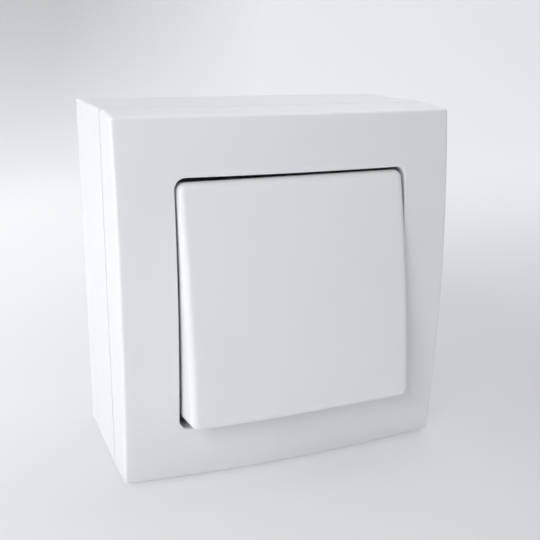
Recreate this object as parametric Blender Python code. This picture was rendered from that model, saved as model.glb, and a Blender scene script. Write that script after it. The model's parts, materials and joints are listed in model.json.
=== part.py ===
"""Surface mounted rocker light switch, modelled as the assembly it is.

Metres. The origin is the centre of the flat face that lies on the wall, +Z is up and the
rocker faces -Y. "Depth" below always means the distance from the wall towards the room,
so a point at depth d has y = -d.
"""
import math

import bmesh
import bpy

# Fits shared by all pieces
SEAT_GAP = 0.0003           # between two pieces that touch
RUNNING_GAP = 0.0002        # radial play of a pin in its bearing
ROCKER_GAP = 0.00055        # visible gap round the rocker

# Back box
BOX_WIDTH = 0.0806          # outside, at its front rim, where the frame lies flush with it
BOX_HEIGHT = 0.0848
BOX_DEPTH = 0.0285
BOX_DRAFT = 0.0002          # how far each side spreads from the rim to the wall
BOX_WALL = 0.0020
BOX_FLOOR = 0.0020
BOX_CORNER = 0.0006         # radius of the upright corners
BOX_EDGE = 0.0004           # rounding of the edge on the wall
REAR_ENTRY_WIDTH = 0.0260
REAR_ENTRY_HEIGHT = 0.0140
REAR_ENTRY_CORNER = 0.0050
REAR_ENTRY_OFFSET = 0.0145  # above the middle
FIXING_SPACING = 0.0600     # between the two wall screws
FIXING_SLOT_LENGTH = 0.0090
FIXING_SLOT_WIDTH = 0.0044
FIXING_RIM = 0.0016         # raised rim round each fixing slot
KNOCKOUT_WIDTH = 0.0160
KNOCKOUT_DEPTH = 0.0140     # its size across the side wall
KNOCKOUT_SKIN = 0.0008      # what is left of the wall there
PILLAR_OFFSET = 0.00065     # outwards from midway between the insert and the side wall
PILLAR_RADIUS = 0.0035
PILLAR_RIB = 0.0016

# Cover frame
FRAME_SIDE = 0.0112         # depth of its side at the corners
FRAME_TAPER_X = 0.0001      # how far each side draws in towards the front
FRAME_TAPER_Z = 0.0007
FRAME_WALL = 0.0021
FRAME_SKIN = 0.0022
FRAME_CORNER = 0.0009
FRAME_EDGE = 0.0007         # rounding where the side meets the front
LIP_DEPTH = 0.0012          # the lip that registers the frame inside the box
LIP_THICKNESS = 0.0009
DOME_RADIUS = 0.3270        # the front is crowned both ways
OPENING_CORNER = 0.0025
OPENING_EDGE = 0.0003
COLLAR_WALL = 0.0013
COLLAR_DEPTH = 0.0095       # from the front surface inwards, at the corners
CLIP_WIDTH = 0.0080
CLIP_SPACING = 0.0360
CLIP_THICKNESS = 0.0014
CLIP_HOOK = 0.0012
CATCH_DEPTH = 0.0020        # size of the catch along the clip
CATCH_SETBACK = 0.0015      # catch to box rim
GUSSET = 0.0012

# Rocker cap
CAP_WIDTH = 0.0543
CAP_HEIGHT = 0.0543
CAP_RISE = 0.0111           # pivot to the middle of the face
CAP_DOME_RADIUS = 0.3500
CAP_SKIRT = 0.0010          # how far the skirt passes behind the pivot
CAP_WALL = 0.0018
CAP_SKIN = 0.0020
CAP_CORNER = 0.0020
CAP_EDGE = 0.0016
CAP_PROUD = 0.0001          # pressed edge above the frame's surface
CAP_LEG_SPACING = 0.0196
CAP_LEG_THICKNESS = 0.0016
CAP_LEG_WIDTH = 0.0060
CAP_LEG_HOOK = 0.0007
CAP_RIB = 0.0010
CAP_RIB_INSET = 0.0030      # rib to the inside of the skirt
ROCKER_TILT = math.radians(8.4)     # each way from the middle

# Actuator under the cap
ACTUATOR_WIDTH = 0.0320
ACTUATOR_HEIGHT = 0.0340
ACTUATOR_PLATE = 0.0020
ACTUATOR_PLATE_RISE = 0.0030        # pivot to the back of its plate
ACTUATOR_CHEEK = 0.0020
ACTUATOR_CHEEK_RADIUS = 0.0042
TRUNNION_RADIUS = 0.0020
TUBE_WALL = 0.0013
TUBE_LENGTH = 0.0080                # behind the pivot
TUBE_END_WALL = 0.0005
SADDLE_SPACING = 0.0240

# Plunger and its spring
PLUNGER_RADIUS = 0.0024
PLUNGER_NOSE = 0.0015               # radius of its round nose
PLUNGER_BACK = 0.0035               # pivot to its hollow end
PLUNGER_GUIDE = 0.0067              # length of its thick part
PLUNGER_HOLLOW = 0.0050
PLUNGER_WALL = 0.0006
PLUNGER_TIP = 0.00008                # radius of the flat left on the nose
SPRING_WIRE = 0.00045
SPRING_TURNS = 7

# Support plate and its screws
PLATE_DEPTH = 0.0240                # back of the plate above the wall
PLATE_THICKNESS = 0.0010
PLATE_MARGIN = 0.0030               # plate to the inside of the box, left and right
PLATE_MARGIN_Z = 0.0080
PLATE_CORNER = 0.0060
PLATE_SLOT_LENGTH = 0.0075
PLATE_SLOT_WIDTH = 0.0036
SCREW_HEAD_RADIUS = 0.0030
SCREW_HEAD = 0.0019
SCREW_RADIUS = 0.0014
SCREW_LENGTH = 0.0110
SCREW_SLOT = 0.0008
SCREW_RIM = 0.6                     # upright share of a head's height
SCREW_CROWN = 0.75                  # top of a head, as a share of its radius

# Insert: base below the plate, bearing bridge above it
BASE_WIDTH = 0.0414
BASE_DEPTH = 0.0167
BASE_CORNER = 0.0020
BASE_FLOOR = 0.0027                 # below the terminal pockets
LEDGE_HEIGHT = 0.0077               # base back to the ledge that carries the strips
CHAMBER_SINK = 0.0013               # chamber floor below that ledge
CHAMBER_LENGTH = 0.0320
BRIDGE_THICKNESS = 0.0022
BRIDGE_WINDOW_WIDTH = 0.0240
BRIDGE_WINDOW_LENGTH = 0.0280
EAR_WIDTH = 0.0028
EAR_RADIUS = 0.0036
EAR_FOOT = 0.0110
INSERT_SCREW_INSET = 0.0033         # screw axis to the outside of the base
INSERT_SCREW_RADIUS = 0.0012
INSERT_SCREW_HEAD_RADIUS = 0.0022
INSERT_SCREW_HEAD = 0.0014
INSERT_SCREW_LENGTH = 0.0110

# Contacts and terminals
STRIP_THICKNESS = 0.0008
STRIP_WIDTH = 0.0040
CONTACT_REACH = 0.0110              # pivot of the contact rocker to each contact
FIXED_HEAD = 0.0006
MOVING_HEAD = 0.0010
CONTACT_RADIUS = 0.0017
CONTACT_CROWN = 0.8                 # flat of a contact, as a share of its radius
RIVET_RADIUS = 0.0008
RIVET_TAIL_RADIUS = 0.0013
RIVET_TAIL = 0.0004
CONTACT_ROCKER_WIDTH = 0.0090
CONTACT_ROCKER_ARM = 0.0140
CONTACT_ROCKER_THICKNESS = 0.0008
CONTACT_TILT = math.radians(6.0)    # each way; the arms are bent up by the same angle
KNIFE_TAB = 0.0008
KNIFE_SLOPE = 0.6                   # fall of a knife edge for each unit sideways
CLAMP_WIDTH = 0.0070
CLAMP_WALL = 0.0012
CLAMP_TOP = 0.0014
WIRE_SPACE = 0.0038                 # below the strip, inside the clamp
CLAMP_INSET = 0.0022                # clamp to the outside of the base
CLAMP_SCREW_RADIUS = 0.0014
CLAMP_SCREW_HEAD_RADIUS = 0.0025
CLAMP_SCREW_HEAD = 0.0016
CLAMP_SCREW_NECK = 0.0008
ACCESS_HOLE_GAP = 0.0005            # screw head to the access hole above it

# Mesh density
SIDE_STEPS = 12             # along each side of a crowned outline
CORNER_STEPS = 4
ROUND_STEPS = 20
SMALL_ROUND_STEPS = 12
HEAD_STEPS = 16
ROUND_END = 0.00001         # straight stretch between the two arcs of a round end

# Sizes that follow from the ones above
BOX_HALF_X = BOX_WIDTH / 2
BOX_HALF_Z = BOX_HEIGHT / 2
BOX_INNER_X = BOX_HALF_X - BOX_WALL
BOX_INNER_Z = BOX_HALF_Z - BOX_WALL
CAP_HALF_X = CAP_WIDTH / 2
CAP_HALF_Z = CAP_HEIGHT / 2
FRONT_HALF_X = BOX_HALF_X - FRAME_TAPER_X
FRONT_HALF_Z = BOX_HALF_Z - FRAME_TAPER_Z
FRAME_BACK = BOX_DEPTH + SEAT_GAP
FRAME_FRONT = FRAME_BACK + FRAME_SIDE       # depth of the front corners
DOME_TOP = FRAME_FRONT + (FRONT_HALF_X ** 2 + FRONT_HALF_Z ** 2) / (2 * DOME_RADIUS)
CAP_EDGE_RISE = CAP_RISE - CAP_HALF_Z ** 2 / (2 * CAP_DOME_RADIUS)
CAP_REACH = CAP_EDGE_RISE * math.sin(ROCKER_TILT) + CAP_HALF_Z * math.cos(ROCKER_TILT)
OPENING_HALF_X = CAP_HALF_X + ROCKER_GAP
OPENING_HALF_Z = CAP_REACH + ROCKER_GAP
PIVOT_DEPTH = (
    DOME_TOP - CAP_REACH ** 2 / (2 * DOME_RADIUS) + CAP_PROUD
    - CAP_EDGE_RISE * math.cos(ROCKER_TILT) + CAP_HALF_Z * math.sin(ROCKER_TILT)
)
PLATE_FRONT = PLATE_DEPTH + PLATE_THICKNESS
PLATE_HALF_X = BOX_INNER_X - PLATE_MARGIN
PLATE_HALF_Z = BOX_INNER_Z - PLATE_MARGIN_Z
PILLAR_TOP = PLATE_DEPTH - SEAT_GAP
BASE_HALF = BASE_WIDTH / 2
PILLAR_AT = (BASE_HALF + BOX_INNER_X) / 2 + PILLAR_OFFSET
BASE_FRONT = PLATE_DEPTH - SEAT_GAP
BASE_BACK = BASE_FRONT - BASE_DEPTH
LEDGE = BASE_BACK + LEDGE_HEIGHT
CHAMBER_FLOOR = LEDGE - CHAMBER_SINK
BRIDGE_BACK = PLATE_FRONT + SEAT_GAP
BRIDGE_FRONT = BRIDGE_BACK + BRIDGE_THICKNESS
STRIP_BACK = LEDGE + SEAT_GAP
STRIP_FRONT = STRIP_BACK + STRIP_THICKNESS
FIXED_HEAD_BACK = STRIP_FRONT + SEAT_GAP
CONTACT_PIVOT = FIXED_HEAD_BACK + FIXED_HEAD + SEAT_GAP + MOVING_HEAD + SEAT_GAP
CLAMP_CENTRE_X = BASE_HALF - CLAMP_INSET - CLAMP_WIDTH / 2
CLAMP_WINDOW_BACK = STRIP_BACK - WIRE_SPACE
CLAMP_WINDOW_FRONT = STRIP_FRONT + SEAT_GAP
CLAMP_BACK = CLAMP_WINDOW_BACK - CLAMP_WALL
CLAMP_FRONT = CLAMP_WINDOW_FRONT + CLAMP_TOP
INSERT_SCREW_AT = BASE_HALF - INSERT_SCREW_INSET
TUBE_BORE = PLUNGER_RADIUS + SEAT_GAP
TUBE_TOP = ACTUATOR_PLATE_RISE - TUBE_END_WALL      # bottom of the bore, in front of the pivot
SPRING_RADIUS = PLUNGER_RADIUS - PLUNGER_WALL - SEAT_GAP
NOSE_CENTRE = (
    PIVOT_DEPTH - PLUNGER_NOSE - CONTACT_PIVOT - CONTACT_ROCKER_THICKNESS - SEAT_GAP
) / math.cos(ROCKER_TILT)
SOFT = 1 - math.cos(math.radians(45))       # inset of the middle of a rounded edge, per radius

# Colours: linear RGB, roughness, metallic
WHITE_PLASTIC = ((0.78, 0.79, 0.80), 0.38, 0.0)
INSERT_PLASTIC = ((0.60, 0.61, 0.62), 0.50, 0.0)
ACTUATOR_PLASTIC = ((0.62, 0.60, 0.55), 0.45, 0.0)
STEEL = ((0.56, 0.56, 0.55), 0.35, 1.0)
BRASS = ((0.75, 0.56, 0.28), 0.30, 1.0)
SILVER = ((0.85, 0.84, 0.82), 0.25, 1.0)


# Helpers
def clear_scene():
    for obj in list(bpy.data.objects):
        bpy.data.objects.remove(obj, do_unlink=True)


def at(x, depth, z):
    """A point given by its depth in front of the wall or, on a moving piece, of its axis."""
    return (x, -depth, z)


def finish_material(name, look):
    colour, roughness, metallic = look
    material = bpy.data.materials.new(name)
    material.use_nodes = True
    shader = material.node_tree.nodes["Principled BSDF"]
    shader.inputs["Base Color"].default_value = (*colour, 1.0)
    shader.inputs["Roughness"].default_value = roughness
    shader.inputs["Metallic"].default_value = metallic
    return material


def add_object(name, bm, look=None, parent=None):
    """Turn a bmesh into a named object; without a look it is a hidden tool for booleans."""
    bmesh.ops.recalc_face_normals(bm, faces=bm.faces)
    mesh = bpy.data.meshes.new(name)
    bm.to_mesh(mesh)
    bm.free()
    obj = bpy.data.objects.new(name, mesh)
    bpy.context.scene.collection.objects.link(obj)
    obj.parent = parent
    if look is None:
        obj.hide_render = True
        obj.display_type = "WIRE"
    else:
        mesh.materials.append(finish_material(name, look))
    return obj


def add_empty(name, location, tilt=0.0, parent=None):
    empty = bpy.data.objects.new(name, None)
    empty.location = location
    empty.rotation_euler.x = tilt
    empty.parent = parent
    bpy.context.scene.collection.objects.link(empty)
    return empty


def shade(obj, angle=35.0):
    obj.data.shade_smooth()
    obj.data.set_sharp_from_angle(angle=math.radians(angle))


def loft(name, rings, look=None, parent=None, closed=False):
    """Skin equal rings of points; the ends are capped unless the run closes on itself."""
    bm = bmesh.new()
    loops = [[bm.verts.new(point) for point in ring] for ring in rings]
    pairs = list(zip(loops, loops[1:]))
    if closed:
        pairs.append((loops[-1], loops[0]))
    else:
        bm.faces.new(loops[0])
        bm.faces.new(loops[-1])
    for low, high in pairs:
        for i, corner in enumerate(low):
            after = (i + 1) % len(low)
            bm.faces.new((corner, low[after], high[after], high[i]))
    return add_object(name, bm, look, parent)


def block(name, x, depth, z, look=None, parent=None):
    """A box between the low and high ends given for x, depth and z."""
    outline = [(x[0], z[0]), (x[1], z[0]), (x[1], z[1]), (x[0], z[1])]
    return plate(name, outline, depth, look, parent)


def plate(name, outline, depth, look=None, parent=None):
    """Extrude an (x, z) outline through a depth range."""
    rings = [[at(x, d, z) for x, z in outline] for d in depth]
    return loft(name, rings, look, parent)


def section(name, outline, x, look=None, parent=None):
    """Extrude a (z, depth) outline along X."""
    rings = [[at(end, d, z) for z, d in outline] for end in x]
    return loft(name, rings, look, parent)


def side_section(name, outline, z, look=None, parent=None):
    """Extrude an (x, depth) outline along Z."""
    rings = [[at(x, d, end) for x, d in outline] for end in z]
    return loft(name, rings, look, parent)


def circle(radius, steps, centre=(0.0, 0.0)):
    turn = 2 * math.pi / steps
    return [
        (centre[0] + radius * math.cos(i * turn), centre[1] + radius * math.sin(i * turn))
        for i in range(steps)
    ]


def turned(name, profile, centre=(0.0, 0.0), steps=ROUND_STEPS, look=None, parent=None):
    """Turn a (radius, depth) profile about an axis along the depth."""
    rings = [[at(x, d, z) for x, z in circle(r, steps, centre)] for r, d in profile]
    obj = loft(name, rings, look, parent)
    shade(obj)
    return obj


def rod(name, radius, x, depth=0.0, z=0.0, steps=ROUND_STEPS, look=None, parent=None):
    """A round bar along X."""
    return section(name, circle(radius, steps, (z, depth)), x, look, parent)


def rounded_outline(half_x, half_z, radius, side_steps=1, corner_steps=CORNER_STEPS):
    """A rectangle with round corners, as (x, z) points, the same number for any size."""
    corners = [(1, -1, -90), (1, 1, 0), (-1, 1, 90), (-1, -1, 180)]
    arcs = []
    for sign_x, sign_z, start in corners:
        centre_x = sign_x * (half_x - radius)
        centre_z = sign_z * (half_z - radius)
        angles = [math.radians(start + 90 * i / corner_steps) for i in range(corner_steps + 1)]
        arcs.append([(centre_x + radius * math.cos(a), centre_z + radius * math.sin(a)) for a in angles])
    points = []
    for arc, following in zip(arcs, arcs[1:] + arcs[:1]):
        points += arc
        (x0, z0), (x1, z1) = arc[-1], following[0]
        for i in range(1, side_steps):
            share = i / side_steps
            points.append((x0 + (x1 - x0) * share, z0 + (z1 - z0) * share))
    return points


def slot_outline(length, width, centre, upright=False, steps=SMALL_ROUND_STEPS):
    """A slot with round ends, centred on a point, along X or upright."""
    half_x, half_z = (width / 2, length / 2) if upright else (length / 2, width / 2)
    outline = rounded_outline(half_x, half_z, width / 2 - ROUND_END, corner_steps=steps // 4)
    return [(centre[0] + x, centre[1] + z) for x, z in outline]


def boolean(target, tool, operation):
    modifier = target.modifiers.new(f"{operation.lower()} {tool.name}", "BOOLEAN")
    modifier.operation = operation
    modifier.solver = "EXACT"
    modifier.object = tool


def cut(target, *tools):
    for tool in tools:
        boolean(target, tool, "DIFFERENCE")


def fuse(target, *tools):
    for tool in tools:
        boolean(target, tool, "UNION")


def dome(x, z):
    """Depth of the frame's crowned front."""
    return DOME_TOP - (x * x + z * z) / (2 * DOME_RADIUS)


def cap_dome(x, z):
    """Height of the rocker's face in front of its axis."""
    return CAP_RISE - (x * x + z * z) / (2 * CAP_DOME_RADIUS)


def crowned_ring(half_x, half_z, radius, surface, sink):
    outline = rounded_outline(half_x, half_z, radius, SIDE_STEPS)
    return [at(x, surface(x, z) - sink, z) for x, z in outline]


def level_ring(half_x, half_z, radius, depth, side_steps=SIDE_STEPS):
    return [at(x, depth, z) for x, z in rounded_outline(half_x, half_z, radius, side_steps)]


# Back box
def make_back_box():
    spread = BOX_DRAFT / BOX_DEPTH
    inner_x = BOX_INNER_X + BOX_DRAFT - spread * BOX_FLOOR
    inner_z = BOX_INNER_Z + BOX_DRAFT - spread * BOX_FLOOR
    back_x = BOX_HALF_X + BOX_DRAFT
    back_z = BOX_HALF_Z + BOX_DRAFT
    inner_corner = BOX_CORNER / 2
    rings = [
        level_ring(back_x - BOX_EDGE, back_z - BOX_EDGE, BOX_CORNER - BOX_EDGE / 2, 0.0, 1),
        level_ring(back_x, back_z, BOX_CORNER, BOX_EDGE, 1),
        level_ring(BOX_HALF_X, BOX_HALF_Z, BOX_CORNER, BOX_DEPTH, 1),
        level_ring(BOX_INNER_X, BOX_INNER_Z, inner_corner, BOX_DEPTH, 1),
        level_ring(inner_x, inner_z, inner_corner, BOX_FLOOR, 1),
    ]
    box = loft("back_box", rings, WHITE_PLASTIC)
    for side in (-1, 1):
        add_pillar(box, side)
        add_fixing_slot(box, side)
        add_knockout(box, side)
        for end in (-1, 1):
            add_catch(box, side, end)
    entry = rounded_outline(REAR_ENTRY_WIDTH / 2, REAR_ENTRY_HEIGHT / 2, REAR_ENTRY_CORNER)
    entry = [(x, z + REAR_ENTRY_OFFSET) for x, z in entry]
    cut(box, plate("cut_rear_entry", entry, (-BOX_FLOOR, 2 * BOX_FLOOR)))
    return box


def add_pillar(box, side):
    """A screw pillar for the support plate, tied to the side wall by a rib."""
    x = side * PILLAR_AT
    root = BOX_FLOOR / 2
    column = [(PILLAR_RADIUS, root), (PILLAR_RADIUS, PILLAR_TOP)]
    pillar = turned(f"fuse_pillar_{side}", column, (x, 0.0))
    wall = side * (BOX_INNER_X + BOX_WALL / 2)
    rib_x = sorted((x + side * PILLAR_RADIUS / 2, wall))
    rib_z = (-PILLAR_RIB / 2, PILLAR_RIB / 2)
    rib = block(f"fuse_pillar_rib_{side}", rib_x, (root, PILLAR_TOP - BOX_WALL), rib_z)
    fuse(box, pillar, rib)
    hole_radius = SCREW_RADIUS + SEAT_GAP
    hole_end = PLATE_FRONT + SEAT_GAP - SCREW_LENGTH - BOX_FLOOR
    cut(box, turned(f"cut_pillar_{side}", [(hole_radius, hole_end), (hole_radius, PLATE_DEPTH)], (x, 0.0)))


def add_fixing_slot(box, side):
    """A slot for a wall screw in a raised rim: upright above, level below."""
    centre = (0.0, side * FIXING_SPACING / 2)
    upright = side > 0
    rim_length = FIXING_SLOT_LENGTH + 2 * FIXING_RIM
    rim_width = FIXING_SLOT_WIDTH + 2 * FIXING_RIM
    rim = slot_outline(rim_length, rim_width, centre, upright)
    hole = slot_outline(FIXING_SLOT_LENGTH, FIXING_SLOT_WIDTH, centre, upright)
    rim_top = BOX_FLOOR + FIXING_RIM
    fuse(box, plate(f"fuse_fixing_{side}", rim, (BOX_FLOOR / 2, rim_top)))
    cut(box, plate(f"cut_fixing_{side}", hole, (-BOX_FLOOR, rim_top + BOX_FLOOR)))


def add_knockout(box, side):
    """A thin place in the top or bottom wall, where a cable can be brought in."""
    middle = BOX_DEPTH / 2
    depth = (middle - KNOCKOUT_DEPTH / 2, middle + KNOCKOUT_DEPTH / 2)
    outer = BOX_HALF_Z - KNOCKOUT_SKIN
    z = sorted((side * (BOX_INNER_Z - BOX_WALL), side * outer))
    cut(box, block(f"cut_knockout_{side}", (-KNOCKOUT_WIDTH / 2, KNOCKOUT_WIDTH / 2), depth, z))


def clip_face():
    """Height of the clip's outer face, and the catch's inner face, above the middle."""
    catch_inner = BOX_INNER_Z - CLIP_HOOK
    return catch_inner - SEAT_GAP, catch_inner


def add_catch(box, side, end):
    """A ledge that a clip of the frame hooks behind."""
    x = sorted((side * (CLIP_SPACING - CLIP_WIDTH) / 2, side * (CLIP_SPACING + CLIP_WIDTH) / 2))
    _, inner = clip_face()
    z = sorted((end * inner, end * (BOX_INNER_Z + BOX_WALL / 2)))
    front = BOX_DEPTH - CATCH_SETBACK
    fuse(box, block(f"fuse_catch_{side}_{end}", x, (front - CATCH_DEPTH, front), z))


# Cover frame
def make_cover_frame():
    """One closed section swept round the frame: side, crowned front, collar and inner faces."""
    edge = FRAME_EDGE
    lip = OPENING_EDGE
    collar_end = dome(OPENING_HALF_X, OPENING_HALF_Z) - COLLAR_DEPTH
    lip_x = BOX_INNER_X - SEAT_GAP
    lip_z = BOX_INNER_Z - SEAT_GAP
    lip_end = FRAME_BACK - LIP_DEPTH
    inner_corner = FRAME_CORNER / 2

    def front(inset, sink):
        return crowned_ring(FRONT_HALF_X - inset, FRONT_HALF_Z - inset, FRAME_CORNER - inset, dome, sink)

    def opening(outset, sink):
        corner = OPENING_CORNER + outset
        return crowned_ring(OPENING_HALF_X + outset, OPENING_HALF_Z + outset, corner, dome, sink)

    def collar_foot(outset):
        corner = OPENING_CORNER + outset
        return level_ring(OPENING_HALF_X + outset, OPENING_HALF_Z + outset, corner, collar_end)

    under_x = FRONT_HALF_X - FRAME_WALL
    under_z = FRONT_HALF_Z - FRAME_WALL
    rings = [
        level_ring(BOX_HALF_X, BOX_HALF_Z, FRAME_CORNER, FRAME_BACK),
        front(0.0, edge),
        front(SOFT * edge, SOFT * edge),
        front(edge, 0.0),
        opening(lip, 0.0),
        opening(SOFT * lip, SOFT * lip),
        opening(0.0, lip),
        collar_foot(0.0),
        collar_foot(COLLAR_WALL),
        opening(COLLAR_WALL, FRAME_SKIN),
        crowned_ring(under_x, under_z, inner_corner, dome, FRAME_SKIN),
        level_ring(lip_x - LIP_THICKNESS, lip_z - LIP_THICKNESS, inner_corner, lip_end),
        level_ring(lip_x, lip_z, inner_corner, lip_end),
        level_ring(lip_x, lip_z, inner_corner, FRAME_BACK),
    ]
    frame = loft("cover_frame", rings, WHITE_PLASTIC, closed=True)
    for side in (-1, 1):
        for end in (-1, 1):
            add_clip(frame, side, end)
            add_gusset(frame, side, end)
    shade(frame)
    return frame


def add_clip(frame, side, end):
    """A spring clip from the underside of the front, hooked outwards behind its catch."""
    x_inner = side * (CLIP_SPACING - CLIP_WIDTH) / 2
    x_outer = side * (CLIP_SPACING + CLIP_WIDTH) / 2
    face, _ = clip_face()
    root = dome(max(abs(x_inner), abs(x_outer)), face) - FRAME_SKIN / 2
    hook_front = BOX_DEPTH - CATCH_SETBACK - CATCH_DEPTH - SEAT_GAP
    hook_back = hook_front - CLIP_HOOK
    hook_tip = BOX_INNER_Z - SEAT_GAP
    outline = [
        (end * (face - CLIP_THICKNESS), root),
        (end * face, root),
        (end * face, hook_front),
        (end * hook_tip, hook_front),
        (end * face, hook_back - CLIP_HOOK / 2),
        (end * (face - CLIP_THICKNESS), hook_back - CLIP_HOOK / 2),
    ]
    fuse(frame, section(f"fuse_clip_{side}_{end}", outline, sorted((x_inner, x_outer))))


def add_gusset(frame, side, end):
    """A rib between the collar and the side wall, above and below the middle."""
    z_centre = end * OPENING_HALF_Z / 2
    x_low = OPENING_HALF_X + COLLAR_WALL / 2
    x_high = FRONT_HALF_X - FRAME_WALL / 2
    skin = dome(x_high, z_centre) - FRAME_SKIN / 2
    foot = dome(OPENING_HALF_X, OPENING_HALF_Z) - COLLAR_DEPTH + SEAT_GAP
    outline = [
        (side * x_low, skin), (side * x_high, skin), (side * x_high, skin - FRAME_SKIN), (side * x_low, foot),
    ]
    z = (z_centre - GUSSET / 2, z_centre + GUSSET / 2)
    fuse(frame, side_section(f"fuse_gusset_{side}_{end}", outline, z))


# Rocker cap
def make_rocker_cap(axis):
    """A crowned cap: rings from the middle of the face out, down the skirt and back inside."""
    edge = CAP_EDGE
    inner_x = CAP_HALF_X - CAP_WALL
    inner_z = CAP_HALF_Z - CAP_WALL
    inner_corner = CAP_CORNER - CAP_WALL / 2

    def outside(inset, sink, share=1.0):
        half_x = share * (CAP_HALF_X - inset)
        half_z = share * (CAP_HALF_Z - inset)
        return crowned_ring(half_x, half_z, share * (CAP_CORNER - inset), cap_dome, sink)

    def inside(share):
        return crowned_ring(share * inner_x, share * inner_z, share * inner_corner, cap_dome, CAP_SKIN)

    rings = [outside(edge, 0.0, share) for share in (0.15, 0.5, 0.8, 1.0)]
    rings += [outside(SOFT * edge, SOFT * edge), outside(0.0, edge)]
    rings.append(level_ring(CAP_HALF_X, CAP_HALF_Z, CAP_CORNER, -CAP_SKIRT))
    rings.append(level_ring(inner_x, inner_z, inner_corner, -CAP_SKIRT))
    rings += [inside(share) for share in (1.0, 0.6, 0.2)]
    cap = loft("rocker_cap", rings, WHITE_PLASTIC, axis)
    for side in (-1, 1):
        add_cap_leg(cap, axis, side)
        add_cap_rib(cap, axis, side)
    shade(cap)
    return cap


def add_cap_leg(cap, axis, side):
    """A hooked leg that snaps through a window of the actuator."""
    inner = (CAP_LEG_SPACING - CAP_LEG_THICKNESS) / 2
    outer = inner + CAP_LEG_THICKNESS
    hook = outer + CAP_LEG_HOOK
    root = CAP_RISE - CAP_SKIN / 2 - outer ** 2 / (2 * CAP_DOME_RADIUS)
    hook_front = ACTUATOR_PLATE_RISE - SEAT_GAP
    hook_back = hook_front - 2 * CAP_LEG_HOOK
    outline = [
        (side * inner, root), (side * outer, root), (side * outer, hook_front),
        (side * hook, hook_front), (side * outer, hook_back), (side * inner, hook_back),
    ]
    leg = side_section(f"fuse_cap_leg_{side}", outline, (-CAP_LEG_WIDTH / 2, CAP_LEG_WIDTH / 2), parent=axis)
    fuse(cap, leg)


def add_cap_rib(cap, axis, side):
    """A stiffening rib under the face, on both sides of the bearing ears."""
    x = side * (CAP_HALF_X - CAP_WALL - CAP_RIB_INSET)
    half_z = CAP_HALF_Z - CAP_WALL / 2
    back = cap_dome(CAP_HALF_X, CAP_HALF_Z) - CAP_SKIN - CAP_RIB
    front = cap_dome(x, CAP_HALF_Z) - CAP_SKIN / 2
    rib_x = (x - CAP_RIB / 2, x + CAP_RIB / 2)
    fuse(cap, block(f"fuse_cap_rib_{side}", rib_x, (back, front), (-half_z, half_z), parent=axis))


# Actuator
def make_actuator(axis):
    """The inner rocker: a plate on two trunnions, with the plunger's tube behind it."""
    half_x = ACTUATOR_WIDTH / 2
    half_z = ACTUATOR_HEIGHT / 2
    plate_front = ACTUATOR_PLATE_RISE + ACTUATOR_PLATE
    outline = rounded_outline(half_x, half_z, ACTUATOR_PLATE)
    actuator = plate("actuator", outline, (ACTUATOR_PLATE_RISE, plate_front), ACTUATOR_PLASTIC, axis)
    inside_plate = ACTUATOR_PLATE_RISE + ACTUATOR_PLATE / 2
    tube_radius = TUBE_BORE + TUBE_WALL
    tube = turned("fuse_tube", [(tube_radius, -TUBE_LENGTH), (tube_radius, inside_plate)], parent=axis)
    web_half = GUSSET / 2
    web_outline = [
        (-half_z + ACTUATOR_PLATE, inside_plate), (half_z - ACTUATOR_PLATE, inside_plate),
        (tube_radius, -TUBE_LENGTH / 2), (-tube_radius, -TUBE_LENGTH / 2),
    ]
    web = section("fuse_web", web_outline, (-web_half, web_half), parent=axis)
    fuse(actuator, tube, web)
    for side in (-1, 1):
        fuse(actuator, *cheek(axis, side, half_x, inside_plate), saddle(axis, side, plate_front))
    for side in (-1, 1):
        cut(actuator, leg_window(axis, side, plate_front))
    bore = [(TUBE_BORE, -TUBE_LENGTH - TUBE_WALL), (TUBE_BORE, TUBE_TOP)]
    cut(actuator, turned("cut_tube", bore, parent=axis))
    return actuator


def cheek(axis, side, half_x, top):
    """The side of the actuator with its trunnion, which turns in an ear of the bridge."""
    radius = ACTUATOR_CHEEK_RADIUS
    outline = [(radius, top)]
    outline += [(radius * math.cos(a), -radius * math.sin(a)) for a in (math.pi * i / 8 for i in range(9))]
    outline.append((-radius, top))
    x = sorted((side * (half_x - ACTUATOR_CHEEK), side * half_x))
    wall = section(f"fuse_cheek_{side}", outline, x, parent=axis)
    pin_end = half_x + ROCKER_GAP + EAR_WIDTH + SEAT_GAP
    pin_x = sorted((side * (half_x - ACTUATOR_CHEEK / 2), side * pin_end))
    return wall, rod(f"fuse_trunnion_{side}", TRUNNION_RADIUS, pin_x, parent=axis)


def saddle(axis, side, plate_front):
    """A rib across the plate that the cap sits on."""
    half_x = ACTUATOR_WIDTH / 2 - ACTUATOR_CHEEK
    z = side * SADDLE_SPACING / 2
    top = cap_dome(half_x, z) - CAP_SKIN - SEAT_GAP
    depth = (plate_front - ACTUATOR_PLATE / 2, top)
    rib_z = (z - GUSSET / 2, z + GUSSET / 2)
    return block(f"fuse_saddle_{side}", (-half_x, half_x), depth, rib_z, parent=axis)


def leg_window(axis, side, plate_front):
    """The window in the plate for a leg of the cap."""
    inner = (CAP_LEG_SPACING - CAP_LEG_THICKNESS) / 2 - SEAT_GAP
    outer = inner + CAP_LEG_THICKNESS + 2 * SEAT_GAP
    half_z = CAP_LEG_WIDTH / 2 + SEAT_GAP
    depth = (ACTUATOR_PLATE_RISE - ACTUATOR_PLATE, plate_front + ACTUATOR_PLATE)
    x = sorted((side * inner, side * outer))
    return block(f"cut_leg_window_{side}", x, depth, (-half_z, half_z), parent=axis)


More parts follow.
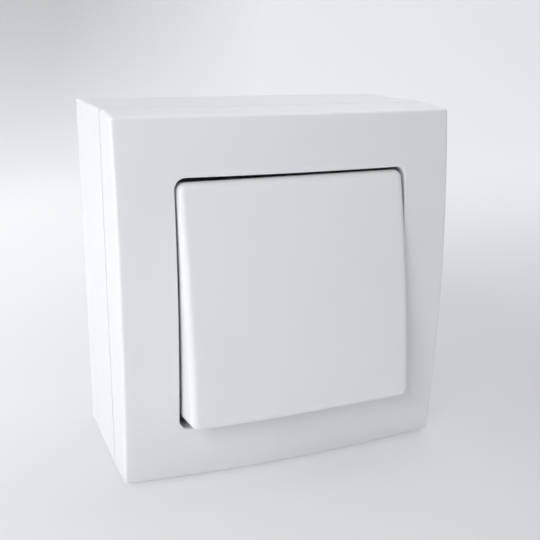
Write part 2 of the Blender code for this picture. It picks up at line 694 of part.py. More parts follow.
# Plunger and spring, on the rocker's axis
def make_plunger(axis):
    """A hollow pin with a round nose that rides on the contact rocker."""
    hollow = SPRING_RADIUS + SEAT_GAP
    guide_end = PLUNGER_BACK + PLUNGER_GUIDE
    profile = [
        (hollow, -PLUNGER_BACK - PLUNGER_HOLLOW), (hollow, -PLUNGER_BACK), (PLUNGER_RADIUS, -PLUNGER_BACK),
        (PLUNGER_RADIUS, -guide_end), (PLUNGER_NOSE, -guide_end - PLUNGER_RADIUS / 2),
    ]
    for angle in (0, 25, 50, 75):
        around = math.radians(angle)
        profile.append((PLUNGER_NOSE * math.cos(around), -NOSE_CENTRE - PLUNGER_NOSE * math.sin(around)))
    profile.append((PLUNGER_TIP, -NOSE_CENTRE - PLUNGER_NOSE))
    return turned("plunger", profile, steps=HEAD_STEPS, look=INSERT_PLASTIC, parent=axis)


def make_plunger_spring(axis):
    """A coil between the end of the tube and the bottom of the plunger's hollow."""
    steps = 12
    sides = 6
    wire = SPRING_WIRE / 2
    coil = SPRING_RADIUS - wire
    front = TUBE_TOP - SEAT_GAP - wire
    back = -PLUNGER_BACK - PLUNGER_HOLLOW + SEAT_GAP + wire
    rings = []
    for i in range(SPRING_TURNS * steps + 1):
        share = i / (SPRING_TURNS * steps)
        turn = 2 * math.pi * i / steps
        depth = front + (back - front) * share
        ring = []
        for j in range(sides):
            around = 2 * math.pi * j / sides
            reach = coil + wire * math.cos(around)
            ring.append(at(reach * math.cos(turn), depth + wire * math.sin(around), reach * math.sin(turn)))
        rings.append(ring)
    spring = loft("plunger_spring", rings, STEEL, axis)
    shade(spring, 70.0)
    return spring


# Support plate
def make_support_plate():
    """The stamped steel plate that the insert hangs on."""
    outline = rounded_outline(PLATE_HALF_X, PLATE_HALF_Z, PLATE_CORNER)
    steel = plate("support_plate", outline, (PLATE_DEPTH, PLATE_FRONT), STEEL)
    through = (PLATE_DEPTH - PLATE_THICKNESS, PLATE_FRONT + PLATE_THICKNESS)
    window_x = CLAMP_CENTRE_X - CLAMP_SCREW_RADIUS
    window_z = INSERT_SCREW_AT - INSERT_SCREW_HEAD_RADIUS
    tools = [plate("cut_plate_window", rounded_outline(window_x, window_z, BASE_CORNER), through)]
    for side in (-1, 1):
        centre = (side * PILLAR_AT, 0.0)
        slot = slot_outline(PLATE_SLOT_LENGTH, PLATE_SLOT_WIDTH, centre, upright=True)
        tools.append(plate(f"cut_plate_slot_{side}", slot, through))
        centre = (0.0, side * (BASE_HALF + PLATE_SLOT_LENGTH))
        slot = slot_outline(PLATE_SLOT_LENGTH, PLATE_SLOT_WIDTH, centre)
        tools.append(plate(f"cut_spare_slot_{side}", slot, through))
    tools += access_holes("plate", through)
    cut(steel, *tools)
    return steel


def clamp_places():
    """Name and centre of each terminal: the common one on the left, the outputs on the right."""
    return (
        ("common", (-CLAMP_CENTRE_X, 0.0)),
        ("upper", (CLAMP_CENTRE_X, CONTACT_REACH)),
        ("lower", (CLAMP_CENTRE_X, -CONTACT_REACH)),
    )


def insert_screw_places():
    return (("left", (-INSERT_SCREW_AT, -INSERT_SCREW_AT)), ("right", (INSERT_SCREW_AT, INSERT_SCREW_AT)))


def access_holes(name, through):
    """Cutters for the holes over the terminal screws and for the insert's own screws."""
    tools = []
    for place, centre in clamp_places():
        radius = CLAMP_SCREW_HEAD_RADIUS + ACCESS_HOLE_GAP
        profile = [(radius, through[0]), (radius, through[1])]
        tools.append(turned(f"cut_{name}_access_{place}", profile, centre, HEAD_STEPS))
    for place, centre in insert_screw_places():
        radius = INSERT_SCREW_RADIUS + SEAT_GAP
        profile = [(radius, through[0]), (radius, through[1])]
        tools.append(turned(f"cut_{name}_screw_{place}", profile, centre, SMALL_ROUND_STEPS))
    return tools


def make_screw(name, centre, seat, sizes):
    """A slotted pan-head screw: the head lies in front of its seat, the shank behind it."""
    radius, head_radius, head, length = sizes
    under_head = seat + SEAT_GAP
    tip = under_head - length
    profile = [
        (radius / 2, tip), (radius, tip + radius), (radius, under_head), (head_radius, under_head),
        (head_radius, under_head + head * SCREW_RIM), (head_radius * SCREW_CROWN, under_head + head),
    ]
    screw = turned(name, profile, centre, HEAD_STEPS, STEEL)
    x, z = centre
    slot_x = (x - head_radius * 2, x + head_radius * 2)
    slot_z = (z - SCREW_SLOT / 2, z + SCREW_SLOT / 2)
    slot_depth = (under_head + head / 2, under_head + head * 2)
    cut(screw, block(f"cut_{name}", slot_x, slot_depth, slot_z))
    return screw


def make_screws():
    plate_sizes = (SCREW_RADIUS, SCREW_HEAD_RADIUS, SCREW_HEAD, SCREW_LENGTH)
    for name, side in (("left", -1), ("right", 1)):
        make_screw(f"plate_screw_{name}", (side * PILLAR_AT, 0.0), PLATE_FRONT, plate_sizes)
    insert_sizes = (INSERT_SCREW_RADIUS, INSERT_SCREW_HEAD_RADIUS, INSERT_SCREW_HEAD, INSERT_SCREW_LENGTH)
    for name, centre in insert_screw_places():
        make_screw(f"insert_screw_{name}", centre, BRIDGE_FRONT, insert_sizes)
    neck = CLAMP_FRONT + CLAMP_SCREW_NECK - SEAT_GAP
    clamp_length = neck + SEAT_GAP - CLAMP_WINDOW_FRONT
    clamp_sizes = (CLAMP_SCREW_RADIUS, CLAMP_SCREW_HEAD_RADIUS, CLAMP_SCREW_HEAD, clamp_length)
    for name, centre in clamp_places():
        make_screw(f"clamp_screw_{name}", centre, neck, clamp_sizes)


# Insert base
def make_insert_base():
    """The moulded base: a chamber for the contact rocker and a pocket for each terminal."""
    outline = rounded_outline(BASE_HALF, BASE_HALF, BASE_CORNER)
    base = plate("insert_base", outline, (BASE_BACK, BASE_FRONT), INSERT_PLASTIC)
    top = BASE_FRONT + BASE_FLOOR
    half_x = CONTACT_ROCKER_WIDTH / 2 + ROCKER_GAP
    chamber_z = (-CHAMBER_LENGTH / 2, CHAMBER_LENGTH / 2)
    cut(base, block("cut_chamber", (-half_x, half_x), (CHAMBER_FLOOR, top), chamber_z))
    pocket = CLAMP_WIDTH / 2 + SEAT_GAP
    channel = STRIP_WIDTH / 2 + SEAT_GAP
    for name, (x, z) in clamp_places():
        side = 1 if x > 0 else -1
        pocket_x = (x - pocket, x + pocket)
        pocket_z = (z - pocket, z + pocket)
        cut(base, block(f"cut_pocket_{name}", pocket_x, (CLAMP_BACK - SEAT_GAP, top), pocket_z))
        channel_x = sorted((side * (half_x - SEAT_GAP), side * (abs(x) - pocket + SEAT_GAP)))
        channel_z = (z - channel, z + channel)
        cut(base, block(f"cut_channel_{name}", channel_x, (LEDGE, top), channel_z))
        wire_x = sorted((x, side * (BASE_HALF + BASE_CORNER)))
        wire_depth = (CLAMP_WINDOW_BACK + STRIP_BACK) / 2
        cut(base, rod(f"cut_wire_{name}", WIRE_SPACE / 2, wire_x, wire_depth, z, SMALL_ROUND_STEPS))
    hole_back = BRIDGE_FRONT + SEAT_GAP - INSERT_SCREW_LENGTH - BASE_CORNER / 2
    hole = INSERT_SCREW_RADIUS + SEAT_GAP
    bore = [(hole, hole_back), (hole, top)]
    for name, centre in insert_screw_places():
        cut(base, turned(f"cut_base_screw_{name}", bore, centre, SMALL_ROUND_STEPS))
    return base


# Bearing bridge
def make_bearing_bridge():
    """The cover of the insert, with the two ears that carry the actuator."""
    outline = rounded_outline(BASE_HALF, BASE_HALF, BASE_CORNER)
    bridge = plate("bearing_bridge", outline, (BRIDGE_BACK, BRIDGE_FRONT), INSERT_PLASTIC)
    ear_inner = ACTUATOR_WIDTH / 2 + ROCKER_GAP
    for side in (-1, 1):
        x = sorted((side * ear_inner, side * (ear_inner + EAR_WIDTH)))
        foot = BRIDGE_FRONT - BRIDGE_THICKNESS / 2
        arc = [math.pi * i / 8 for i in range(9)]
        profile = [(EAR_FOOT / 2, foot), (EAR_FOOT / 2, BRIDGE_FRONT + EAR_WIDTH)]
        profile += [(EAR_RADIUS * math.cos(a), PIVOT_DEPTH + EAR_RADIUS * math.sin(a)) for a in arc]
        profile += [(-EAR_FOOT / 2, BRIDGE_FRONT + EAR_WIDTH), (-EAR_FOOT / 2, foot)]
        fuse(bridge, section(f"fuse_ear_{side}", profile, x))
        bearing = TRUNNION_RADIUS + RUNNING_GAP
        bore_x = sorted((side * (ear_inner - EAR_WIDTH), side * (ear_inner + 2 * EAR_WIDTH)))
        cut(bridge, rod(f"cut_bearing_{side}", bearing, bore_x, PIVOT_DEPTH))
    through = (BRIDGE_BACK - BRIDGE_THICKNESS, BRIDGE_FRONT + BRIDGE_THICKNESS)
    window = rounded_outline(BRIDGE_WINDOW_WIDTH / 2, BRIDGE_WINDOW_LENGTH / 2, BASE_CORNER)
    cut(bridge, plate("cut_bridge_window", window, through), *access_holes("bridge", through))
    return bridge


# Contacts and terminals
def rivet_hole(name, centre, depth):
    hole = RIVET_RADIUS + SEAT_GAP
    return turned(name, [(hole, depth[0]), (hole, depth[1])], centre, SMALL_ROUND_STEPS)


def make_fixed_strips():
    """The two brass strips that carry the fixed contacts to their terminals."""
    inner_end = -CONTACT_RADIUS - STRIP_THICKNESS
    outer_end = CLAMP_CENTRE_X + CLAMP_WIDTH / 2 - SEAT_GAP
    half = STRIP_WIDTH / 2
    for name, side in (("upper", 1), ("lower", -1)):
        z = side * CONTACT_REACH
        depth = (STRIP_BACK, STRIP_FRONT)
        strip = block(f"{name}_strip", (inner_end, outer_end), depth, (z - half, z + half), BRASS)
        cut(strip, rivet_hole(f"cut_{name}_rivet", (0.0, z), (LEDGE, FIXED_HEAD_BACK)))
        head_front = FIXED_HEAD_BACK + FIXED_HEAD
        tail_front = STRIP_BACK - SEAT_GAP
        profile = [
            (RIVET_TAIL_RADIUS, tail_front - RIVET_TAIL), (RIVET_TAIL_RADIUS, tail_front),
            (RIVET_RADIUS, tail_front), (RIVET_RADIUS, FIXED_HEAD_BACK), (CONTACT_RADIUS, FIXED_HEAD_BACK),
            (CONTACT_RADIUS, head_front - FIXED_HEAD / 3), (CONTACT_RADIUS * CONTACT_CROWN, head_front),
        ]
        turned(f"fixed_contact_{name}", profile, (0.0, z), HEAD_STEPS, SILVER)


def make_common_strip():
    """The common strip, with two tabs bent up to knife edges under the contact rocker."""
    half = STRIP_WIDTH / 2
    tab_outer = CONTACT_ROCKER_WIDTH / 2 - SEAT_GAP
    outer_end = -CLAMP_CENTRE_X - CLAMP_WIDTH / 2 + SEAT_GAP
    strip = block("common_strip", (outer_end, tab_outer), (STRIP_BACK, STRIP_FRONT), (-half, half), BRASS)
    knife = CONTACT_PIVOT - SEAT_GAP
    shoulder = knife - half * KNIFE_SLOPE
    outline = [
        (half, STRIP_BACK + STRIP_THICKNESS / 2), (half, shoulder), (0.0, knife), (-half, shoulder),
        (-half, STRIP_BACK + STRIP_THICKNESS / 2),
    ]
    for side in (-1, 1):
        x = sorted((side * (tab_outer - KNIFE_TAB), side * tab_outer))
        fuse(strip, section(f"fuse_knife_{side}", outline, x))
    return strip


def make_contact_rocker(axis):
    """The moving contact: a bent brass plate that tips on the knife edges."""
    half_x = CONTACT_ROCKER_WIDTH / 2
    cos_arm = math.cos(CONTACT_TILT)
    sin_arm = math.sin(CONTACT_TILT)
    thick = CONTACT_ROCKER_THICKNESS

    def along(distance, height):
        return distance * cos_arm - height * sin_arm, distance * sin_arm + height * cos_arm

    tip_z, tip_depth = along(CONTACT_ROCKER_ARM, 0.0)
    end_z, end_depth = along(CONTACT_ROCKER_ARM, thick)
    outline = [
        (0.0, 0.0), (tip_z, tip_depth), (end_z, end_depth), (0.0, thick / cos_arm),
        (-end_z, end_depth), (-tip_z, tip_depth),
    ]
    rocker = section("contact_rocker", outline, (-half_x, half_x), BRASS, axis)
    for name, side in (("upper", 1), ("lower", -1)):
        arm = add_empty(f"arm_{name}", (0.0, 0.0, 0.0), side * CONTACT_TILT, axis)
        centre = (0.0, side * CONTACT_REACH)
        hole = rivet_hole(f"cut_moving_{name}", centre, (-MOVING_HEAD, thick + MOVING_HEAD))
        hole.parent = arm
        cut(rocker, hole)
        head_front = -SEAT_GAP
        head_back = head_front - MOVING_HEAD
        tail_back = thick + SEAT_GAP
        profile = [
            (CONTACT_RADIUS * CONTACT_CROWN, head_back), (CONTACT_RADIUS, head_back + MOVING_HEAD / 3),
            (CONTACT_RADIUS, head_front), (RIVET_RADIUS, head_front), (RIVET_RADIUS, tail_back),
            (RIVET_TAIL_RADIUS, tail_back), (RIVET_TAIL_RADIUS, tail_back + RIVET_TAIL),
        ]
        turned(f"moving_contact_{name}", profile, centre, HEAD_STEPS, SILVER, arm)
    return rocker


def make_clamps():
    """A brass cage for each terminal: wires go in from the side, the screw from the front."""
    half = CLAMP_WIDTH / 2
    window = half - CLAMP_WALL
    for name, (x, z) in clamp_places():
        cage_depth = (CLAMP_BACK, CLAMP_FRONT)
        cage = block(f"clamp_{name}", (x - half, x + half), cage_depth, (z - half, z + half), BRASS)
        way_x = (x - CLAMP_WIDTH, x + CLAMP_WIDTH)
        way_depth = (CLAMP_WINDOW_BACK, CLAMP_WINDOW_FRONT)
        cut(cage, block(f"cut_clamp_{name}", way_x, way_depth, (z - window, z + window)))
        hole = CLAMP_SCREW_RADIUS + SEAT_GAP
        profile = [(hole, STRIP_FRONT), (hole, CLAMP_FRONT + CLAMP_TOP)]
        cut(cage, turned(f"cut_clamp_screw_{name}", profile, (x, z), SMALL_ROUND_STEPS))


def main():
    clear_scene()
    make_back_box()
    make_cover_frame()
    make_support_plate()
    make_insert_base()
    make_bearing_bridge()
    make_fixed_strips()
    make_common_strip()
    make_clamps()
    make_screws()
    # The photograph's state: top pressed in, so the plunger points down and the lower contact is closed.
    rocker_axis = add_empty("rocker_axis", at(0.0, PIVOT_DEPTH, 0.0), -ROCKER_TILT)
    make_rocker_cap(rocker_axis)
    make_actuator(rocker_axis)
    make_plunger(rocker_axis)
    make_plunger_spring(rocker_axis)
    contact_axis = add_empty("contact_axis", at(0.0, CONTACT_PIVOT, 0.0), CONTACT_TILT)
    make_contact_rocker(contact_axis)


main()
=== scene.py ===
"""Looks of a surface mounted rocker light switch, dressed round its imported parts."""

import json
import math

import bmesh
import bpy
from mathutils import Matrix, Vector


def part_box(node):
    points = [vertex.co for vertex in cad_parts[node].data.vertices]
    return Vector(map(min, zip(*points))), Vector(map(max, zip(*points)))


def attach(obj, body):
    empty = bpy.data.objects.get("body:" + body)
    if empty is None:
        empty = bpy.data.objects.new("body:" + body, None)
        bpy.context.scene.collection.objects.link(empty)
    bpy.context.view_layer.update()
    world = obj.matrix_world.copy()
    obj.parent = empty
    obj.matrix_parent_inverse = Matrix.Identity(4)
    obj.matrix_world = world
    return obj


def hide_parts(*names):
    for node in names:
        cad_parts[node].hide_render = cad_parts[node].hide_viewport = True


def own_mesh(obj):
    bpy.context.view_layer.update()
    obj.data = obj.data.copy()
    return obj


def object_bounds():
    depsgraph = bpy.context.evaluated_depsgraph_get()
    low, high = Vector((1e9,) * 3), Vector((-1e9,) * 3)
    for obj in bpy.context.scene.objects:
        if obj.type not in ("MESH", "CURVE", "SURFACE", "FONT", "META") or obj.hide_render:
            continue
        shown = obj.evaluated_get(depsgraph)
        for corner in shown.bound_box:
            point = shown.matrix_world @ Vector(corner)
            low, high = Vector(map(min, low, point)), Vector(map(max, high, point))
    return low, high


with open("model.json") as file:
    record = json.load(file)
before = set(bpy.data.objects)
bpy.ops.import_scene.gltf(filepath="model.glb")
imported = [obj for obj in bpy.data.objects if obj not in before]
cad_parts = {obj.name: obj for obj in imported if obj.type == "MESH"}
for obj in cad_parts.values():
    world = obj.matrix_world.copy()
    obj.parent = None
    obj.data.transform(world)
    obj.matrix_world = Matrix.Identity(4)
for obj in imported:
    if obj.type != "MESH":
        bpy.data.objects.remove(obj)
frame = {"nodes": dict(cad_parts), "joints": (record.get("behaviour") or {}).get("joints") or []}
CAD_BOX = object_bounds()

# Camera at the photograph's viewing angle: metres, degrees, millimetres
CAMERA_PLACE = (-0.07153, -0.20513, 0.05697)
CAMERA_TURN = (74.086, -0.593, -21.806)
CAMERA_LENS = 53.946
CAMERA_SENSOR = 36.0
CAMERA_NEAR = 0.01          # metres

# Joints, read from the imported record
JOINTS = {joint["name"]: joint for joint in frame["joints"]}
PIVOT = Vector(JOINTS["rocker_tilt"]["pos_m"])
TILT = math.radians(JOINTS["rocker_tilt"]["range_deg"][1] / 2)

# Boxes of the pieces that get a finer surface here
BOX_LOW, BOX_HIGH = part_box("back_box")
FRAME_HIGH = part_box("cover_frame")[1]
PLATE_BACK = -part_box("support_plate")[1].y
PLATE_SCREW_LOW, PLATE_SCREW_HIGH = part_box("plate_screw_right")
PILLAR_AT = (PLATE_SCREW_LOW.x + PLATE_SCREW_HIGH.x) / 2
PLATE_SCREW_TIP = -PLATE_SCREW_HIGH.y

# Back box, metres
BOX_WALL = 0.0020
BOX_DRAFT = 0.0002
BOX_CORNER = 0.0006
BOX_EDGE = 0.0004
BOX_RIM_EDGE = 0.00008
BOX_FLOOR = 0.0020
BOX_FILLET = 0.0006         # inside, between the walls and the floor
BOX_DEPTH = -BOX_LOW.y
BOX_HALF_X = BOX_HIGH.x - BOX_DRAFT
BOX_HALF_Z = BOX_HIGH.z - BOX_DRAFT
BOX_INNER_X = BOX_HALF_X - BOX_WALL
BOX_INNER_Z = BOX_HALF_Z - BOX_WALL
REAR_ENTRY_WIDTH = 0.0260
REAR_ENTRY_HEIGHT = 0.0140
REAR_ENTRY_CORNER = 0.0050
REAR_ENTRY_OFFSET = 0.0145
FIXING_OFFSET = 0.0300      # from the middle to each slot for a wall screw
FIXING_SLOT_LENGTH = 0.0090
FIXING_SLOT_WIDTH = 0.0044
FIXING_SLOT_FLAT = 0.00001  # half of the least straight stretch at a slot's round end
FIXING_RIM = 0.0016
KNOCKOUT_WIDTH = 0.0160
KNOCKOUT_DEPTH = 0.0140
KNOCKOUT_SKIN = 0.0008
KNOCKOUT_EDGE = 0.0003
PILLAR_RADIUS = 0.0035
PILLAR_FILLET = 0.0006
PILLAR_RIB = 0.0016
PILLAR_RIB_EDGE = 0.0002
HOLE_PLAY = 0.0003          # round a screw in its hole
MOUTH = 0.0003              # rounding of a hole's edge

# Cover frame
SEAT_GAP = 0.0003
ROCKER_GAP = 0.00055
FRAME_HALF_X = FRAME_HIGH.x
FRAME_HALF_Z = FRAME_HIGH.z
FRAME_BACK = BOX_DEPTH + SEAT_GAP
FRAME_SIDE = 0.0112
FRAME_TAPER_X = 0.0001
FRAME_TAPER_Z = 0.0007
FRAME_WALL = 0.0021
FRAME_SKIN = 0.0022
FRAME_CORNER = 0.0009
FRAME_EDGE = 0.0007
FRAME_BACK_EDGE = 0.0003    # depth of the relief beside the parting line
FRAME_BACK_RELIEF = 0.0010  # and how far it runs along the side
LIP_DEPTH = 0.0012
LIP_THICKNESS = 0.0009
DOME_RADIUS = 0.3270
OPENING_CORNER = 0.0025
OPENING_EDGE = 0.0003
COLLAR_WALL = 0.0013
COLLAR_DEPTH = 0.0095
CLIP_WIDTH = 0.0080
CLIP_SPACING = 0.0360
CLIP_THICKNESS = 0.0014
CLIP_HOOK = 0.0012
CLIP_NOSE = 1.5 * CLIP_HOOK  # length of the slanted end beyond the hook
CLIP_EDGE = 0.00015
CATCH_DEPTH = 0.0020
CATCH_SETBACK = 0.0015
CATCH_EDGE = 0.00015
GUSSET = 0.0012
GUSSET_EDGE = 0.00010
FRONT_HALF_X = FRAME_HALF_X - FRAME_TAPER_X
FRONT_HALF_Z = FRAME_HALF_Z - FRAME_TAPER_Z
DOME_TOP = FRAME_BACK + FRAME_SIDE + (FRONT_HALF_X ** 2 + FRONT_HALF_Z ** 2) / (2 * DOME_RADIUS)

# Rocker cap
CAP_HALF_X = 0.02715
CAP_HALF_Z = 0.02715
CAP_RISE = 0.0111
CAP_DOME_RADIUS = 0.3500
CAP_SKIRT = 0.0010
CAP_WALL = 0.0018
CAP_SKIN = 0.0020
CAP_CORNER = 0.0020
CAP_EDGE = 0.0016
CAP_LEG_SPACING = 0.0196
CAP_LEG_THICKNESS = 0.0016
CAP_LEG_WIDTH = 0.0060
CAP_LEG_HOOK = 0.0007
CAP_LEG_HOOK_RISE = 0.0027  # axis to the front of the hooks
CAP_RIB = 0.0010
CAP_RIB_INSET = 0.0030
CAP_INNER_EDGE = 0.00012    # of the legs and ribs
CAP_TURN = math.radians(0.35)       # the cap sits a little askew in its opening
CAP_EDGE_RISE = CAP_RISE - CAP_HALF_Z ** 2 / (2 * CAP_DOME_RADIUS)
CAP_REACH = CAP_EDGE_RISE * math.sin(TILT) + CAP_HALF_Z * math.cos(TILT)
OPENING_HALF_X = CAP_HALF_X + ROCKER_GAP
OPENING_HALF_Z = CAP_REACH + ROCKER_GAP

# Screws: shank radius, head height and thread pitch of each kind
SCREWS = {
    "plate_screw": (0.0014, 0.0019, 0.00100),
    "insert_screw": (0.0012, 0.0014, 0.00090),
    "clamp_screw": (0.0014, 0.0016, 0.00050),
}
SCREW_SLOT = 0.0008
SCREW_NECK = 0.0002         # full shank below the head
HEAD_EDGE = 0.0001          # bevel below the head
HEAD_CROWN_HEIGHT = 0.45    # of the crowned part, as a share of the head's height
HEAD_CROWN_WIDTH = 0.30     # and how far it draws in, as a share of the head's radius
HEAD_FLAT = 0.35            # radius of the flat top, as a share of the head's
POINT_TIP = 0.40            # radius at a screw's tip, as a share of the core's
POINT_START = 0.45          # and what its taper starts from, likewise
POINT_LENGTH = 1.3          # length of that taper, as a share of the shank's radius
THREAD_START = 0.4          # from the tip to the thread, likewise
THREAD_END = 0.0005         # from the thread to the head
THREAD_SHARE = 0.16         # height of a thread as a share of its shank's radius

# Coil of the plunger's spring
SPRING_WIRE = 0.00045
SPRING_TURNS = 7
SPRING_RADIUS = 0.001275    # of the wire's centre line
SPRING_LEAD = 0.00048       # pitch of the closed turns at both ends

# Surface density
SIDE_STEPS = 20
HOLE_SIDE_STEPS = 4         # along a straight stretch of a hole
CORNER_STEPS = 8
FILLET_STEPS = 6
CAP_EDGE_STEPS = 8
RIM_STEPS = 3               # over the small edges of the box's rim
FOOT_STEPS = 5              # over the fillet at a pillar's foot
MOUTH_STEPS = 4
ROUND_STEPS = 48
FRAME_FRONT_RINGS = 8       # from the frame's edge to its opening
CAP_FRONT_RINGS = 16        # from the middle of the cap to its edge
CAP_UNDER_SHARES = (1.0, 0.6, 0.2)  # sizes of the rings under the cap's face
SCREW_STEPS = 40
CROWN_STEPS = 8
THREAD_STEPS = 12           # rings to each turn of a thread
COIL_STEPS = 24             # rings to each turn of the coil
WIRE_SIDES = 10
EDGE_SEGMENTS = 2           # over a rounded edge of an inner piece
BEND_STEPS = 12             # between the floor and the backdrop
HOLD = 0.00025              # distance of the rows that keep a fillet from shading the flat beside it

# Angles in degrees from which an edge shades sharp
SHELL_SHARP = 32.0
SCREW_SHARP = 40.0
COIL_SHARP = 50.0
NODE_SHARP = 35.0
# and from which it is rounded, or joined with the face beside it
PRISM_ROUND = 30.0
NODE_ROUND = 40.0
NODE_FLAT = 0.5
JOIN_DISTANCE = 0.000001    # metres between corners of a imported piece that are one

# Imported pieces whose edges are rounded, with the width in metres
SOFTENED = {
    "support_plate": 0.00015, "insert_base": 0.00020, "actuator": 0.00015,
    "common_strip": 0.00008, "upper_strip": 0.00008, "lower_strip": 0.00008, "contact_rocker": 0.00008,
    "clamp_common": 0.00010, "clamp_upper": 0.00010, "clamp_lower": 0.00010,
}
CONTACTS = ("moving_contact_upper", "moving_contact_lower", "fixed_contact_upper", "fixed_contact_lower")
SMOOTHED = ("bearing_bridge", "plunger", *CONTACTS)

# Plastics: light and dark colour, roughness, height of the surface grain in metres
PLASTICS = {
    "white_plastic": ((0.735, 0.745, 0.766), (0.722, 0.732, 0.753), 0.40, 0.000008),
    "cap_plastic": ((0.742, 0.750, 0.768), (0.730, 0.738, 0.756), 0.36, 0.000006),
    "grey_plastic": ((0.62, 0.63, 0.64), (0.58, 0.59, 0.60), 0.50, 0.000015),
    "ivory_plastic": ((0.66, 0.63, 0.56), (0.62, 0.59, 0.53), 0.42, 0.000010),
}
FLOW_NOISE = (45.0, 3.0)    # waves per metre and detail
GLOSS_NOISE = (160.0, 4.0)
GRAIN_NOISE = (2600.0, 3.0)
PLASTIC_GLOSS_SPREAD = 0.04
PLASTIC_GLOW = 0.35         # share of the light that spreads below the surface
PLASTIC_GLOW_DEPTH = 0.0011

# Metals: light and dark colour, roughness, stretch of the grain and its height in metres
EVEN = (1.0, 1.0, 1.0)
ROLLED = (0.1, 1.0, 1.0)
METALS = {
    "zinc_steel": ((0.62, 0.62, 0.61), (0.54, 0.55, 0.56), 0.34, EVEN, 0.000006),
    "spring_steel": ((0.50, 0.49, 0.47), (0.42, 0.41, 0.40), 0.28, EVEN, 0.000003),
    "brass": ((0.80, 0.60, 0.30), (0.70, 0.50, 0.23), 0.28, ROLLED, 0.000004),
    "contact_silver": ((0.88, 0.87, 0.85), (0.80, 0.79, 0.76), 0.24, EVEN, 0.000003),
}
STAIN_NOISE = (220.0, 4.0)
LINES_NOISE = (900.0, 3.0)
METAL_GLOSS_SPREAD = 0.07
NOISE_MIDDLE = (0.3, 0.7)   # the part of a noise that is stretched over its range

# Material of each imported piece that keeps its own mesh
NODE_MATERIALS = {
    "grey_plastic": ("insert_base", "bearing_bridge", "plunger"),
    "ivory_plastic": ("actuator",),
    "zinc_steel": ("support_plate",),
    "brass": (
        "contact_rocker", "common_strip", "upper_strip", "lower_strip",
        "clamp_common", "clamp_upper", "clamp_lower",
    ),
    "contact_silver": CONTACTS,
}

# Floor and backdrop
FLOOR_FRONT = 3.00
FLOOR_SIDE = 3.00
BACKDROP_DISTANCE = 0.42
BACKDROP_BEND = 0.20
BACKDROP_HEIGHT = 1.50
FLOOR_COLOUR = (0.90, 0.91, 0.93, 1.0)
FLOOR_ROUGHNESS = 0.85
FLOOR_GLOW = 0.7            # share of its painted light and shade in the sheet where it is seen directly
FLOOR_TINT = (0.98, 0.99, 1.03)
# Painted light and shade along the sheet: a painted pool of light behind the object's left, painted
# shade high above it, a painted shadow to the object's right; metres from the object's middle,
# brightness on its left and right
PAINTED_FLOOR_TONES = (
    (-0.07, 0.82, 0.49),
    (0.02, 0.84, 0.48),
    (0.20, 1.00, 0.82),
    (0.42, 1.00, 0.89),
    (0.75, 0.32, 0.83),
)
FLOOR_TURN = (-0.10, 0.10)  # where the left tone ends and the right one begins
FLOOR_SLANT = 0.2           # how far that place moves to the right along the sheet

# Lamps: name, place, size in metres, watts
LAMPS = (
    ("key", (-0.80, -0.08, 0.28), (0.50, 0.60), 2.3),
    ("key_far", (-1.50, 0.24, 0.70), (1.00, 1.20), 4.0),
    ("key_front", (-0.60, -0.60, 0.45), (0.40, 0.40), 4.0),
    ("top", (0.35, 0.15, 0.75), (0.60, 0.60), 2.9),
    ("fill", (0.45, -0.85, 0.40), (0.60, 0.60), 0.7),
)
LAMP_TARGET = (0.0, -0.02, 0.0)
WORLD_COLOUR = (0.96, 0.98, 1.0, 1.0)
WORLD_STRENGTH = 0.24


# Mesh helpers
def at(x, depth, z):
    """A point given by its depth in front of the wall or, on the rocker, of its axis."""
    return (x, -depth, z)


def rounded_outline(half_x, half_z, radius, side_steps=SIDE_STEPS):
    """A rectangle with round corners as (x, z) points, the same number for any size."""
    corners = ((1, -1, -90), (1, 1, 0), (-1, 1, 90), (-1, -1, 180))
    arcs = []
    for sign_x, sign_z, start in corners:
        centre_x = sign_x * (half_x - radius)
        centre_z = sign_z * (half_z - radius)
        angles = [math.radians(start + 90 * i / CORNER_STEPS) for i in range(CORNER_STEPS + 1)]
        arcs.append([(centre_x + radius * math.cos(a), centre_z + radius * math.sin(a)) for a in angles])
    points = []
    for arc, following in zip(arcs, arcs[1:] + arcs[:1]):
        points += arc
        (x0, z0), (x1, z1) = arc[-1], following[0]
        hold = min(0.1, HOLD / math.hypot(x1 - x0, z1 - z0))
        shares = [hold] + [i / side_steps for i in range(1, side_steps)] + [1 - hold]
        points += [(x0 + (x1 - x0) * share, z0 + (z1 - z0) * share) for share in shares]
    return points


def frame_dome(x, z):
    return DOME_TOP - (x * x + z * z) / (2 * DOME_RADIUS)


def cap_dome(x, z):
    return CAP_RISE - (x * x + z * z) / (2 * CAP_DOME_RADIUS)


def flat_ring(outline, depth):
    return [at(x, depth, z) for x, z in outline]


def level_ring(half_x, half_z, radius, depth):
    return flat_ring(rounded_outline(half_x, half_z, radius), depth)


def crowned_ring(half_x, half_z, radius, surface, sink=0.0):
    return [at(x, surface(x, z) - sink, z) for x, z in rounded_outline(half_x, half_z, radius)]


def between_rings(low, high, surface, steps):
    """Rings spread evenly over a crowned surface between two rings on it."""
    rings = []
    for i in range(1, steps):
        share = i / steps
        flat = [(a[0] + (b[0] - a[0]) * share, a[2] + (b[2] - a[2]) * share) for a, b in zip(low, high)]
        rings.append([at(x, surface(x, z), z) for x, z in flat])
    return rings


def quarter(radius, steps=FILLET_STEPS):
    """Inset and sink of the points of a rounded edge, from the side to the front."""
    angles = [math.pi / 2 * i / steps for i in range(steps + 1)]
    return [(radius * (1 - math.cos(a)), radius * (1 - math.sin(a))) for a in angles]


def hollow_quarter(radius, steps):
    """Outset and distance from a face of the points of a surface that widens towards that face."""
    angles = [math.pi / 2 * i / steps for i in range(steps + 1)]
    return [(radius * (1 - math.sin(a)), radius * (1 - math.cos(a))) for a in angles]


